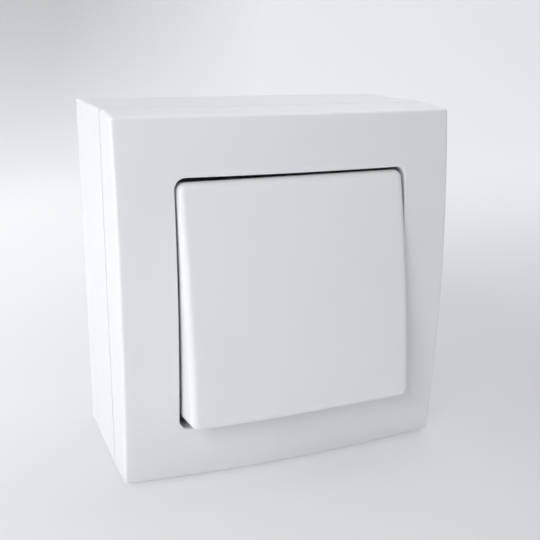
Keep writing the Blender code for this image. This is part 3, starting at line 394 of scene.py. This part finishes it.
def loft(name, rings, closed=False):
    """Skin equal rings of points into a mesh object, closed into a loop or capped at both ends."""
    bm = bmesh.new()
    loops = [[bm.verts.new(point) for point in ring] for ring in rings]
    pairs = list(zip(loops, loops[1:]))
    if closed:
        pairs.append((loops[-1], loops[0]))
    else:
        bm.faces.new(loops[0])
        bm.faces.new(loops[-1])
    for low, high in pairs:
        for i, corner in enumerate(low):
            after = (i + 1) % len(low)
            bm.faces.new((corner, low[after], high[after], high[i]))
    bmesh.ops.recalc_face_normals(bm, faces=bm.faces)
    mesh = bpy.data.meshes.new(name)
    bm.to_mesh(mesh)
    bm.free()
    obj = bpy.data.objects.new(name, mesh)
    bpy.context.scene.collection.objects.link(obj)
    return obj


def smooth(obj, angle=SHELL_SHARP):
    obj.data.shade_smooth()
    obj.data.set_sharp_from_angle(angle=math.radians(angle))


def flat_normals(obj):
    """Let large faces keep their own normal, so that only the rounded edges shade round."""
    modifier = obj.modifiers.new("flat faces stay flat", "WEIGHTED_NORMAL")
    modifier.keep_sharp = True


def prism(name, outline, ends, along="depth", soft=0.0):
    """Extrude an outline of (x, z), (z, depth) or (x, depth) pairs, with its sharp edges softened."""
    place = {
        "depth": lambda pair, end: at(pair[0], end, pair[1]),
        "x": lambda pair, end: at(end, pair[1], pair[0]),
        "z": lambda pair, end: at(pair[0], pair[1], end),
    }[along]
    obj = loft(name, [[place(pair, end) for pair in outline] for end in ends])
    if soft:
        bm = bmesh.new()
        bm.from_mesh(obj.data)
        sharp = [edge for edge in bm.edges if edge.calc_face_angle() > math.radians(PRISM_ROUND)]
        bmesh.ops.bevel(bm, geom=sharp, offset=soft, segments=EDGE_SEGMENTS, profile=0.5, affect="EDGES")
        bm.to_mesh(obj.data)
        bm.free()
    return obj


def rectangle(low, high, start, end):
    return [(low, start), (high, start), (high, end), (low, end)]


def ordered(side, *values):
    """The values on one side of the middle, lowest first."""
    return sorted(side * value for value in values)


def turned(name, profile, centre):
    """Turn a (radius, depth) profile about an axis along the depth."""
    turns = [2 * math.pi * i / ROUND_STEPS for i in range(ROUND_STEPS)]
    rings = []
    for radius, depth in profile:
        circle = [(centre[0] + radius * math.cos(a), centre[1] + radius * math.sin(a)) for a in turns]
        rings.append(flat_ring(circle, depth))
    return loft(name, rings)


def hole_with_round_mouths(name, outline, back, front):
    """A cutter through a wall: it widens round at both faces. The outline takes an outset."""
    mouth = hollow_quarter(MOUTH, MOUTH_STEPS)
    rings = [flat_ring(outline(MOUTH), back - MOUTH)]
    rings += [flat_ring(outline(outset), back + sink) for outset, sink in mouth]
    rings += [flat_ring(outline(outset), front - sink) for outset, sink in reversed(mouth)]
    rings.append(flat_ring(outline(MOUTH), front + MOUTH))
    return loft(name, rings)


def combine(target, tools, operation):
    """Add or cut the tools and keep the result as the target's own mesh."""
    for obj in [target, *tools]:
        bm = bmesh.new()
        bm.from_mesh(obj.data)
        bmesh.ops.triangulate(bm, faces=bm.faces)
        bm.to_mesh(obj.data)
        bm.free()
    for tool in tools:
        modifier = target.modifiers.new(tool.name, "BOOLEAN")
        modifier.operation = operation
        modifier.solver = "EXACT"
        modifier.object = tool
    bpy.context.view_layer.update()
    depsgraph = bpy.context.evaluated_depsgraph_get()
    mesh = bpy.data.meshes.new_from_object(target.evaluated_get(depsgraph))
    target.modifiers.clear()
    target.data = mesh
    for tool in tools:
        bpy.data.objects.remove(tool)


# Pieces with a finer surface
def make_back_box():
    """The back box: drafted walls with round edges, pillars, slots, catches and cable entries."""
    slope = BOX_DRAFT / BOX_DEPTH
    rim = BOX_RIM_EDGE
    inner_corner = BOX_CORNER / 2

    def outside(depth, inset=0.0):
        draft = slope * (BOX_DEPTH - depth)
        corner = BOX_CORNER - inset / 2
        return level_ring(BOX_HALF_X + draft - inset, BOX_HALF_Z + draft - inset, corner, depth)

    def inside(depth, inset=0.0):
        draft = slope * (BOX_DEPTH - depth)
        return level_ring(BOX_INNER_X + draft - inset, BOX_INNER_Z + draft - inset, inner_corner, depth)

    rings = [outside(0.0, BOX_EDGE + HOLD)]
    rings += [outside(sink, inset) for inset, sink in reversed(quarter(BOX_EDGE))]
    rings += [outside(BOX_EDGE + HOLD), outside(BOX_DEPTH - rim - HOLD)]
    rings += [outside(BOX_DEPTH - sink, inset) for inset, sink in quarter(rim, RIM_STEPS)]
    rings += [inside(BOX_DEPTH - sink, -inset) for inset, sink in reversed(quarter(rim, RIM_STEPS))]
    rings += [inside(BOX_DEPTH - rim - HOLD), inside(BOX_FLOOR + BOX_FILLET + HOLD)]
    rings += [inside(BOX_FLOOR + sink, inset) for inset, sink in quarter(BOX_FILLET)]
    rings.append(inside(BOX_FLOOR, BOX_FILLET + HOLD))
    shell = loft("back_box_shell", rings)
    combine(shell, box_additions(), "UNION")
    combine(shell, box_cuts(), "DIFFERENCE")
    smooth(shell)
    flat_normals(shell)
    return shell


def box_additions():
    """Pillars with their ribs, rims of the fixing slots, and catches for the frame's clips."""
    root = BOX_FLOOR / 2
    top = PLATE_BACK - HOLE_PLAY
    rim_top = BOX_FLOOR + FIXING_RIM
    catch_front = BOX_DEPTH - CATCH_SETBACK
    foot = hollow_quarter(PILLAR_FILLET, FOOT_STEPS)
    edge = quarter(MOUTH, MOUTH_STEPS)
    added = []
    for side in (-1, 1):
        profile = [(PILLAR_RADIUS + PILLAR_FILLET, root)]
        profile += [(PILLAR_RADIUS + outset, BOX_FLOOR + rise) for outset, rise in foot]
        profile += [(PILLAR_RADIUS - inset, top - sink) for inset, sink in edge]
        added.append(turned(f"pillar_{side}", profile, (side * PILLAR_AT, 0.0)))
    for side in (-1, 1):
        x = ordered(side, PILLAR_AT + PILLAR_RADIUS / 2, BOX_INNER_X + BOX_WALL / 2)
        outline = rectangle(*x, -PILLAR_RIB / 2, PILLAR_RIB / 2)
        added.append(prism(f"pillar_rib_{side}", outline, (root, top - BOX_WALL), soft=PILLAR_RIB_EDGE))
        rim = slot_outline(side, FIXING_RIM)
        rings = [flat_ring(rim(0.0), root)]
        rings += [flat_ring(rim(-inset), rim_top - sink) for inset, sink in edge]
        added.append(loft(f"fixing_rim_{side}", rings))
        for end in (-1, 1):
            x = ordered(side, (CLIP_SPACING - CLIP_WIDTH) / 2, (CLIP_SPACING + CLIP_WIDTH) / 2)
            z = ordered(end, BOX_INNER_Z - CLIP_HOOK, BOX_INNER_Z + BOX_WALL / 2)
            ends = (catch_front - CATCH_DEPTH, catch_front)
            added.append(prism(f"catch_{side}_{end}", rectangle(*x, *z), ends, soft=CATCH_EDGE))
    return added


def slot_outline(side, outset=0.0):
    """A function that gives a fixing slot's outline: upright above the middle, level below it."""
    long_half = FIXING_SLOT_LENGTH / 2 + outset
    short_half = FIXING_SLOT_WIDTH / 2 + outset
    half_x, half_z = (short_half, long_half) if side > 0 else (long_half, short_half)

    def outline(more):
        radius = short_half + more - FIXING_SLOT_FLAT
        points = rounded_outline(half_x + more, half_z + more, radius, HOLE_SIDE_STEPS)
        return [(x, z + side * FIXING_OFFSET) for x, z in points]

    return outline


def rear_entry_outline(more):
    half_x = REAR_ENTRY_WIDTH / 2 + more
    half_z = REAR_ENTRY_HEIGHT / 2 + more
    points = rounded_outline(half_x, half_z, REAR_ENTRY_CORNER + more, HOLE_SIDE_STEPS)
    return [(x, z + REAR_ENTRY_OFFSET) for x, z in points]


def box_cuts():
    """Screw holes, fixing slots, thin places for cables above and below, and the rear entry."""
    hole = SCREWS["plate_screw"][0] + HOLE_PLAY
    top = PLATE_BACK - HOLE_PLAY
    hole_profile = [
        (hole, PLATE_SCREW_TIP - BOX_FLOOR), (hole, top - MOUTH), (hole + MOUTH, top),
        (hole + MOUTH, top + MOUTH),
    ]
    knockout_ends = (BOX_DEPTH / 2 - KNOCKOUT_DEPTH / 2, BOX_DEPTH / 2 + KNOCKOUT_DEPTH / 2)
    rim_top = BOX_FLOOR + FIXING_RIM
    cuts = []
    for side in (-1, 1):
        cuts.append(turned(f"pillar_hole_{side}", hole_profile, (side * PILLAR_AT, 0.0)))
        cuts.append(hole_with_round_mouths(f"fixing_slot_{side}", slot_outline(side), 0.0, rim_top))
        z = ordered(side, BOX_INNER_Z - BOX_WALL, BOX_HALF_Z - KNOCKOUT_SKIN)
        outline = rectangle(-KNOCKOUT_WIDTH / 2, KNOCKOUT_WIDTH / 2, *z)
        cuts.append(prism(f"knockout_{side}", outline, knockout_ends, soft=KNOCKOUT_EDGE))
    cuts.append(hole_with_round_mouths("rear_entry", rear_entry_outline, 0.0, BOX_FLOOR))
    return cuts


def make_cover_frame():
    """The cover frame: drafted side, round edge, crowned front, opening with its collar."""
    edge = FRAME_EDGE
    collar_end = frame_dome(OPENING_HALF_X, OPENING_HALF_Z) - COLLAR_DEPTH
    lip_x = BOX_HALF_X - BOX_WALL - SEAT_GAP
    lip_z = BOX_HALF_Z - BOX_WALL - SEAT_GAP
    lip_end = FRAME_BACK - LIP_DEPTH
    inner_corner = FRAME_CORNER / 2

    def side(inset, depth):
        return level_ring(FRAME_HALF_X - inset, FRAME_HALF_Z - inset, FRAME_CORNER - inset / 2, depth)

    def front(inset, sink):
        corner = FRAME_CORNER - inset / 2
        return crowned_ring(FRONT_HALF_X - inset, FRONT_HALF_Z - inset, corner, frame_dome, sink)

    def opening(outset, sink):
        corner = OPENING_CORNER + outset
        return crowned_ring(OPENING_HALF_X + outset, OPENING_HALF_Z + outset, corner, frame_dome, sink)

    relief_end = FRAME_BACK + FRAME_BACK_RELIEF
    rings = [side(FRAME_BACK_EDGE, FRAME_BACK), side(0.0, relief_end), side(0.0, relief_end + HOLD)]
    rings.append(front(0.0, edge + HOLD))
    rings += [front(inset, sink) for inset, sink in quarter(edge)]
    outer, inner = front(edge + HOLD, 0.0), opening(OPENING_EDGE + HOLD, 0.0)
    rings += [outer] + between_rings(outer, inner, frame_dome, FRAME_FRONT_RINGS) + [inner]
    rings += [opening(inset, sink) for inset, sink in reversed(quarter(OPENING_EDGE))]
    rings.append(opening(0.0, OPENING_EDGE + HOLD))
    for outset in (0.0, COLLAR_WALL):
        corner = OPENING_CORNER + outset
        rings.append(level_ring(OPENING_HALF_X + outset, OPENING_HALF_Z + outset, corner, collar_end))
    rings.append(opening(COLLAR_WALL, FRAME_SKIN))
    under_x = FRONT_HALF_X - FRAME_WALL
    under_z = FRONT_HALF_Z - FRAME_WALL
    rings.append(crowned_ring(under_x, under_z, inner_corner, frame_dome, FRAME_SKIN))
    rings.append(level_ring(lip_x - LIP_THICKNESS, lip_z - LIP_THICKNESS, inner_corner, lip_end))
    rings.append(level_ring(lip_x, lip_z, inner_corner, lip_end))
    rings.append(level_ring(lip_x, lip_z, inner_corner, FRAME_BACK))
    shell = loft("cover_frame_shell", rings, closed=True)
    combine(shell, frame_additions(), "UNION")
    smooth(shell)
    flat_normals(shell)
    return shell


def frame_additions():
    """Spring clips hooked behind the box's catches, and gussets between collar and side."""
    added = []
    clip_x = ((CLIP_SPACING - CLIP_WIDTH) / 2, (CLIP_SPACING + CLIP_WIDTH) / 2)
    face = BOX_INNER_Z - CLIP_HOOK - SEAT_GAP
    inner_face = face - CLIP_THICKNESS
    root = frame_dome(clip_x[1], face) - FRAME_SKIN / 2
    hook_front = BOX_DEPTH - CATCH_SETBACK - CATCH_DEPTH - SEAT_GAP
    end_depth = hook_front - CLIP_NOSE
    x_low = OPENING_HALF_X + COLLAR_WALL / 2
    x_high = FRONT_HALF_X - FRAME_WALL / 2
    foot = frame_dome(OPENING_HALF_X, OPENING_HALF_Z) - COLLAR_DEPTH + SEAT_GAP
    for side in (-1, 1):
        for end in (-1, 1):
            outline = [
                (end * inner_face, root), (end * face, root), (end * face, hook_front),
                (end * (BOX_INNER_Z - SEAT_GAP), hook_front), (end * face, end_depth),
                (end * inner_face, end_depth),
            ]
            added.append(prism(f"clip_{side}_{end}", outline, ordered(side, *clip_x), "x", CLIP_EDGE))
            z = end * OPENING_HALF_Z / 2
            skin = frame_dome(x_high, z) - FRAME_SKIN / 2
            outline = [
                (side * x_low, skin), (side * x_high, skin), (side * x_high, skin - FRAME_SKIN),
                (side * x_low, foot),
            ]
            ends = (z - GUSSET / 2, z + GUSSET / 2)
            added.append(prism(f"gusset_{side}_{end}", outline, ends, "z", GUSSET_EDGE))
    return added


def make_rocker_cap():
    """The rocker's cap, modelled on its axis and then tilted as the photograph shows it."""
    edge = CAP_EDGE

    def outside(inset, sink, share=1.0):
        half_x = share * (CAP_HALF_X - inset)
        half_z = share * (CAP_HALF_Z - inset)
        return crowned_ring(half_x, half_z, share * (CAP_CORNER - inset), cap_dome, sink)

    rings = [outside(edge, 0.0, i / CAP_FRONT_RINGS) for i in range(1, CAP_FRONT_RINGS)]
    rings.append(outside(edge + HOLD, 0.0))
    rings += [outside(inset, sink) for inset, sink in reversed(quarter(edge, CAP_EDGE_STEPS))]
    rings.append(outside(0.0, edge + HOLD))
    rings.append(level_ring(CAP_HALF_X, CAP_HALF_Z, CAP_CORNER, -CAP_SKIRT))
    inner_x = CAP_HALF_X - CAP_WALL
    inner_z = CAP_HALF_Z - CAP_WALL
    inner_corner = CAP_CORNER - CAP_WALL / 2
    rings.append(level_ring(inner_x, inner_z, inner_corner, -CAP_SKIRT))
    for share in CAP_UNDER_SHARES:
        inner = (share * inner_x, share * inner_z, share * inner_corner)
        rings.append(crowned_ring(*inner, cap_dome, CAP_SKIN))
    cap = loft("rocker_cap_shell", rings)
    combine(cap, cap_additions(), "UNION")
    turn = Matrix.Rotation(-CAP_TURN, 4, "Y")
    cap.data.transform(Matrix.Translation(PIVOT) @ Matrix.Rotation(-TILT, 4, "X") @ turn)
    smooth(cap)
    flat_normals(cap)
    return cap


def cap_additions():
    """Hooked legs that snap through the actuator, and stiffening ribs under the face."""
    added = []
    inner = (CAP_LEG_SPACING - CAP_LEG_THICKNESS) / 2
    outer = inner + CAP_LEG_THICKNESS
    hook = outer + CAP_LEG_HOOK
    root = CAP_RISE - CAP_SKIN / 2 - outer ** 2 / (2 * CAP_DOME_RADIUS)
    front = CAP_LEG_HOOK_RISE
    back = front - 2 * CAP_LEG_HOOK
    leg = ((inner, root), (outer, root), (outer, front), (hook, front), (outer, back), (inner, back))
    leg_ends = (-CAP_LEG_WIDTH / 2, CAP_LEG_WIDTH / 2)
    half_z = CAP_HALF_Z - CAP_WALL / 2
    rib_low = cap_dome(CAP_HALF_X, CAP_HALF_Z) - CAP_SKIN - CAP_RIB
    for side in (-1, 1):
        outline = [(side * x, depth) for x, depth in leg]
        added.append(prism(f"leg_{side}", outline, leg_ends, "z", CAP_INNER_EDGE))
        x = side * (CAP_HALF_X - CAP_WALL - CAP_RIB_INSET)
        rib_high = cap_dome(x, CAP_HALF_Z) - CAP_SKIN / 2
        outline = rectangle(x - CAP_RIB / 2, x + CAP_RIB / 2, -half_z, half_z)
        added.append(prism(f"rib_{side}", outline, (rib_low, rib_high), soft=CAP_INNER_EDGE))
    return added


def make_screw(node):
    """A slotted pan-head screw with its thread, in the place of a plain one."""
    radius, head, pitch = SCREWS[node.rsplit("_", 1)[0]]
    low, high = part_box(node)
    centre = ((low.x + high.x) / 2, (low.z + high.z) / 2)
    head_radius = (high.x - low.x) / 2
    tip, top = -high.y, -low.y
    seat = top - head
    core = radius * (1 - THREAD_SHARE)
    profile = [(radius, seat - SCREW_NECK), (radius, seat), (head_radius - HEAD_EDGE, seat)]
    profile.append((head_radius, seat + HEAD_EDGE))
    for i in range(CROWN_STEPS + 1):
        around = math.pi / 2 * i / CROWN_STEPS
        reach = head_radius * (1 - HEAD_CROWN_WIDTH + HEAD_CROWN_WIDTH * math.cos(around))
        profile.append((reach, top - HEAD_CROWN_HEIGHT * head * (1 - math.sin(around))))
    profile.append((head_radius * HEAD_FLAT, top))
    rings = [screw_ring(centre, core * POINT_TIP, tip)]
    rings += thread_rings(centre, core, radius, tip, seat - THREAD_END, pitch)
    rings += [screw_ring(centre, reach, depth) for reach, depth in profile]
    screw = loft(f"{node}_threaded", rings)
    slot_x = (centre[0] - 2 * head_radius, centre[0] + 2 * head_radius)
    slot_z = (centre[1] - SCREW_SLOT / 2, centre[1] + SCREW_SLOT / 2)
    slot = prism(f"{node}_slot", rectangle(*slot_x, *slot_z), (seat + head / 2, top + head))
    combine(screw, [slot], "DIFFERENCE")
    smooth(screw, SCREW_SHARP)
    flat_normals(screw)
    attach(screw, "housing")
    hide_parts(node)
    return screw


def screw_ring(centre, reach, depth, lift=0.0, lead=0.0):
    """A ring round a screw's axis. A lift adds a thread's height, whose crest turns with the lead."""
    ring = []
    for i in range(SCREW_STEPS):
        around = 2 * math.pi * i / SCREW_STEPS
        out = reach + lift * (0.5 + 0.5 * math.cos(lead - around)) ** 2
        ring.append(at(centre[0] + out * math.cos(around), depth, centre[1] + out * math.sin(around)))
    return ring


def thread_rings(centre, core, crest, tip, end, pitch):
    """Rings of a right-hand thread that rises from nothing at both ends of its shank."""
    start = tip + THREAD_START * crest
    total = math.ceil((end - start) / pitch * THREAD_STEPS)
    rings = []
    for i in range(total + 1):
        depth = start + (end - start) * i / total
        along_point = (depth - tip) / (POINT_LENGTH * crest)
        taper = min(1.0, POINT_START + (1 - POINT_START) * along_point)
        fade = min(1.0, i / THREAD_STEPS, (total - i) / THREAD_STEPS)
        lead = 2 * math.pi * depth / pitch
        rings.append(screw_ring(centre, core * taper, depth, (crest - core) * fade, lead))
    return rings


def make_spring():
    """The plunger's coil with closed ends."""
    low_end, high_end = spring_ends()
    wire = SPRING_WIRE / 2
    length = high_end - low_end
    open_turns = SPRING_TURNS - 2
    open_lead = (length - 2 * SPRING_LEAD) / open_turns
    rings = []
    for i in range(SPRING_TURNS * COIL_STEPS + 1):
        turns = i / COIL_STEPS
        along = SPRING_LEAD * min(turns, 1.0) + open_lead * min(max(turns - 1, 0.0), open_turns)
        along += SPRING_LEAD * max(turns - 1 - open_turns, 0.0)
        around = 2 * math.pi * turns
        ring = []
        for j in range(WIRE_SIDES):
            angle = 2 * math.pi * j / WIRE_SIDES
            reach = SPRING_RADIUS + wire * math.cos(angle)
            depth = high_end - along + wire * math.sin(angle)
            ring.append(at(reach * math.cos(around), depth, reach * math.sin(around)))
        rings.append(ring)
    coil = loft("plunger_coil", rings)
    tilt = Matrix.Translation(PIVOT) @ Matrix.Rotation(-TILT, 4, "X")
    coil.data.transform(tilt)
    smooth(coil, COIL_SHARP)
    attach(coil, "rocker")
    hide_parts("plunger_spring")
    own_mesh(coil)
    return coil


def spring_ends():
    """Depth of the wire's centre at the back and front end, from the tilted solid it replaces."""
    back = Matrix.Rotation(TILT, 4, "X") @ Matrix.Translation(-PIVOT)
    depths = [-(back @ vertex.co).y for vertex in frame["nodes"]["plunger_spring"].data.vertices]
    return min(depths) + SPRING_WIRE / 2, max(depths) - SPRING_WIRE / 2


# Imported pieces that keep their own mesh
def join_faces(node):
    """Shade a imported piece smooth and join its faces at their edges, for the modifiers that follow."""
    node.data.shade_smooth()
    node.modifiers.new("joined faces", "WELD").merge_threshold = JOIN_DISTANCE


def smooth_node(node):
    """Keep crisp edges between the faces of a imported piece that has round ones."""
    join_faces(node)
    crisp = node.modifiers.new("crisp edges", "EDGE_SPLIT")
    crisp.split_angle = math.radians(NODE_SHARP)


def soften_node(node, width):
    """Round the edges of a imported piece."""
    join_faces(node)
    whole_faces = node.modifiers.new("whole faces", "DECIMATE")
    whole_faces.decimate_type = "DISSOLVE"
    whole_faces.angle_limit = math.radians(NODE_FLAT)
    rounding = node.modifiers.new("round edges", "BEVEL")
    rounding.width = width
    rounding.segments = EDGE_SEGMENTS
    rounding.limit_method = "ANGLE"
    rounding.angle_limit = math.radians(NODE_ROUND)
    rounding.use_clamp_overlap = True
    flat_normals(node)


# Materials
def new_material(name):
    material = bpy.data.materials.new(name)
    material.use_nodes = True
    return material, material.node_tree, material.node_tree.nodes["Principled BSDF"]


def noise(tree, scale, detail, stretch=EVEN):
    """A 0 to 1 noise fixed to the piece, with its scale in waves per metre."""
    place = tree.nodes.new("ShaderNodeTexCoord")
    mapping = tree.nodes.new("ShaderNodeMapping")
    texture = tree.nodes.new("ShaderNodeTexNoise")
    mapping.inputs["Scale"].default_value = stretch
    texture.inputs["Scale"].default_value = scale
    texture.inputs["Detail"].default_value = detail
    tree.links.new(place.outputs["Object"], mapping.inputs["Vector"])
    tree.links.new(mapping.outputs["Vector"], texture.inputs["Vector"])
    return texture.outputs["Fac"]


def remap(tree, value, start, end, low=0.0, high=1.0):
    """Map a socket's values between start and end to those between low and high."""
    node = tree.nodes.new("ShaderNodeMapRange")
    node.inputs["From Min"].default_value = start
    node.inputs["From Max"].default_value = end
    node.inputs["To Min"].default_value = low
    node.inputs["To Max"].default_value = high
    tree.links.new(value, node.inputs["Value"])
    return node.outputs["Result"]


def calculate(tree, operation, first, second):
    """A maths node on a socket and a second socket or number."""
    node = tree.nodes.new("ShaderNodeMath")
    node.operation = operation
    tree.links.new(first, node.inputs[0])
    if isinstance(second, float):
        node.inputs[1].default_value = second
    else:
        tree.links.new(second, node.inputs[1])
    return node.outputs[0]


def mix_colours(tree, factor, first, second):
    """A mix of two colours, each a tuple or a socket."""
    node = tree.nodes.new("ShaderNodeMix")
    node.data_type = "RGBA"
    for socket, colour in ((node.inputs[6], first), (node.inputs[7], second)):
        if isinstance(colour, tuple):
            socket.default_value = (*colour, 1.0)
        else:
            tree.links.new(colour, socket)
    tree.links.new(factor, node.inputs[0])
    return node.outputs[2]


def bump(tree, shader, height, distance):
    node = tree.nodes.new("ShaderNodeBump")
    node.inputs["Strength"].default_value = 1.0
    node.inputs["Distance"].default_value = distance
    tree.links.new(height, node.inputs["Height"])
    tree.links.new(node.outputs["Normal"], shader.inputs["Normal"])


def moulded_plastic(name, light, dark, roughness, grain):
    """Moulded plastic: faint flow marks in the colour, uneven gloss and a fine surface grain."""
    material, tree, shader = new_material(name)
    flow = remap(tree, noise(tree, *FLOW_NOISE), *NOISE_MIDDLE)
    tree.links.new(mix_colours(tree, flow, light, dark), shader.inputs["Base Color"])
    limits = (roughness - PLASTIC_GLOSS_SPREAD, roughness + PLASTIC_GLOSS_SPREAD)
    gloss = remap(tree, noise(tree, *GLOSS_NOISE), *NOISE_MIDDLE, *limits)
    tree.links.new(gloss, shader.inputs["Roughness"])
    bump(tree, shader, noise(tree, *GRAIN_NOISE), grain)
    shader.inputs["Subsurface Weight"].default_value = PLASTIC_GLOW
    shader.inputs["Subsurface Radius"].default_value = (1.0, 1.0, 1.0)
    shader.inputs["Subsurface Scale"].default_value = PLASTIC_GLOW_DEPTH
    return material


def plain_metal(name, light, dark, roughness, stretch, grain):
    """Bare or plated metal: drawn or rolled grain, slight staining and uneven gloss."""
    material, tree, shader = new_material(name)
    stain = remap(tree, noise(tree, *STAIN_NOISE), *NOISE_MIDDLE)
    tree.links.new(mix_colours(tree, stain, light, dark), shader.inputs["Base Color"])
    lines = noise(tree, *LINES_NOISE, stretch)
    limits = (roughness - METAL_GLOSS_SPREAD, roughness + METAL_GLOSS_SPREAD)
    tree.links.new(remap(tree, lines, *NOISE_MIDDLE, *limits), shader.inputs["Roughness"])
    shader.inputs["Metallic"].default_value = 1.0
    bump(tree, shader, lines, grain)
    return material


def floor_material(level):
    """Pale paper that keeps the shadow, and shows painted light and shade where it is seen directly."""
    material, tree, shader = new_material("pale_floor")
    shader.inputs["Base Color"].default_value = FLOOR_COLOUR
    shader.inputs["Roughness"].default_value = FLOOR_ROUGHNESS
    glow = tree.nodes.new("ShaderNodeEmission")
    glow.inputs["Strength"].default_value = 1.0
    tree.links.new(painted_floor_tone(tree, level), glow.inputs["Color"])
    path = tree.nodes.new("ShaderNodeLightPath")
    seen = path.outputs["Is Camera Ray"]
    for ray in ("Is Glossy Ray", "Is Transmission Ray"):
        seen = calculate(tree, "MAXIMUM", seen, path.outputs[ray])
    mix = tree.nodes.new("ShaderNodeMixShader")
    # where the sheet is seen directly, painted light and shade stand in for most of the paper's real
    # shading
    tree.links.new(calculate(tree, "MULTIPLY", seen, FLOOR_GLOW), mix.inputs["Fac"])
    tree.links.new(shader.outputs["BSDF"], mix.inputs[1])
    tree.links.new(glow.outputs["Emission"], mix.inputs[2])
    tree.links.new(mix.outputs["Shader"], tree.nodes["Material Output"].inputs["Surface"])
    return material


def painted_floor_tone(tree, level):
    """Colour of the sheet's painted light and shade: brightest behind the object's left, painted shade
    high above that, a painted shadow to the object's right.
    """
    place = tree.nodes.new("ShaderNodeTexCoord")
    split = tree.nodes.new("ShaderNodeSeparateXYZ")
    tree.links.new(place.outputs["Object"], split.inputs["Vector"])
    height = calculate(tree, "SUBTRACT", split.outputs["Z"], level)
    along = calculate(tree, "ADD", split.outputs["Y"], height)
    slant = calculate(tree, "MULTIPLY", along, FLOOR_SLANT)
    across = calculate(tree, "SUBTRACT", split.outputs["X"], slant)
    # painted light on the left, painted shade high up, and a painted shadow on the right near the object
    left = tone_ramp(tree, along, [(distance, tone) for distance, tone, _ in PAINTED_FLOOR_TONES])
    right = tone_ramp(tree, along, [(distance, tone) for distance, _, tone in PAINTED_FLOOR_TONES])
    return mix_colours(tree, remap(tree, across, *FLOOR_TURN), left, right)


def tone_ramp(tree, distance, tones):
    """Tinted grey tones of the painted light and shade, at their distances."""
    start, end = tones[0][0], tones[-1][0]
    ramp = tree.nodes.new("ShaderNodeValToRGB")
    ramp.color_ramp.interpolation = "B_SPLINE"
    stops = ramp.color_ramp.elements
    while len(stops) < len(tones):
        stops.new(0.5)
    for stop, (reach, tone) in zip(stops, tones):
        stop.position = (reach - start) / (end - start)
        stop.color = (*[tone * share for share in FLOOR_TINT], 1.0)
    tree.links.new(remap(tree, distance, start, end), ramp.inputs["Fac"])
    return ramp.outputs["Color"]


def dress(material, *pieces):
    for piece in pieces:
        piece.data.materials.clear()
        piece.data.materials.append(material)


# Surroundings
def make_floor(level):
    """Floor and backdrop in one sheet with a round bend between them."""
    profile = [(-FLOOR_FRONT, level)]
    for i in range(BEND_STEPS + 1):
        angle = math.pi / 2 * i / BEND_STEPS
        y = BACKDROP_DISTANCE + BACKDROP_BEND * math.sin(angle)
        profile.append((y, level + BACKDROP_BEND * (1 - math.cos(angle))))
    profile.append((BACKDROP_DISTANCE + BACKDROP_BEND, level + BACKDROP_HEIGHT))
    bm = bmesh.new()
    rows = [[bm.verts.new((x, y, z)) for x in (-FLOOR_SIDE, FLOOR_SIDE)] for y, z in profile]
    for low, high in zip(rows, rows[1:]):
        bm.faces.new((low[0], low[1], high[1], high[0]))
    mesh = bpy.data.meshes.new("floor_sheet")
    bm.to_mesh(mesh)
    bm.free()
    mesh.shade_smooth()
    floor = bpy.data.objects.new("floor_sheet", mesh)
    bpy.context.scene.collection.objects.link(floor)
    dress(floor_material(level), floor)


def make_light(name, place, size, power):
    """A rectangular lamp that faces the object."""
    lamp = bpy.data.lights.new(name, "AREA")
    lamp.shape = "RECTANGLE"
    lamp.size, lamp.size_y = size
    lamp.energy = power
    light = bpy.data.objects.new(name, lamp)
    light.location = place
    light.visible_camera = False
    light.rotation_euler = (Vector(LAMP_TARGET) - Vector(place)).to_track_quat("-Z", "Y").to_euler()
    bpy.context.scene.collection.objects.link(light)


def make_world():
    world = bpy.data.worlds.new("studio")
    world.use_nodes = True
    background = world.node_tree.nodes["Background"]
    background.inputs["Color"].default_value = WORLD_COLOUR
    background.inputs["Strength"].default_value = WORLD_STRENGTH
    bpy.context.scene.world = world


def make_camera():
    data = bpy.data.cameras.new("camera")
    data.lens = CAMERA_LENS
    data.sensor_width = CAMERA_SENSOR
    data.clip_start = CAMERA_NEAR
    camera = bpy.data.objects.new("camera", data)
    camera.location = CAMERA_PLACE
    camera.rotation_euler = [math.radians(turn) for turn in CAMERA_TURN]
    bpy.context.scene.collection.objects.link(camera)
    bpy.context.scene.camera = camera


def main():
    nodes = frame["nodes"]
    materials = {name: moulded_plastic(name, *look) for name, look in PLASTICS.items()}
    materials.update({name: plain_metal(name, *look) for name, look in METALS.items()})

    box = make_back_box()
    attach(box, "housing")
    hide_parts("back_box")
    shell = make_cover_frame()
    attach(shell, "housing")
    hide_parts("cover_frame")
    cap = make_rocker_cap()
    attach(cap, "rocker")
    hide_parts("rocker_cap")
    screws = [make_screw(name) for name in nodes if name.rsplit("_", 1)[0] in SCREWS]
    coil = make_spring()
    for name, width in SOFTENED.items():
        soften_node(nodes[name], width)
    for name in SMOOTHED:
        smooth_node(nodes[name])

    dress(materials["white_plastic"], box, shell)
    dress(materials["cap_plastic"], cap)
    dress(materials["zinc_steel"], *screws)
    dress(materials["spring_steel"], coil)
    for material, names in NODE_MATERIALS.items():
        dress(materials[material], *[nodes[name] for name in names])

    make_floor(CAD_BOX[0].z)
    make_world()
    for name, place, size, power in LAMPS:
        make_light(name, place, size, power)
    make_camera()
    bpy.context.scene.view_settings.view_transform = "Standard"


main()
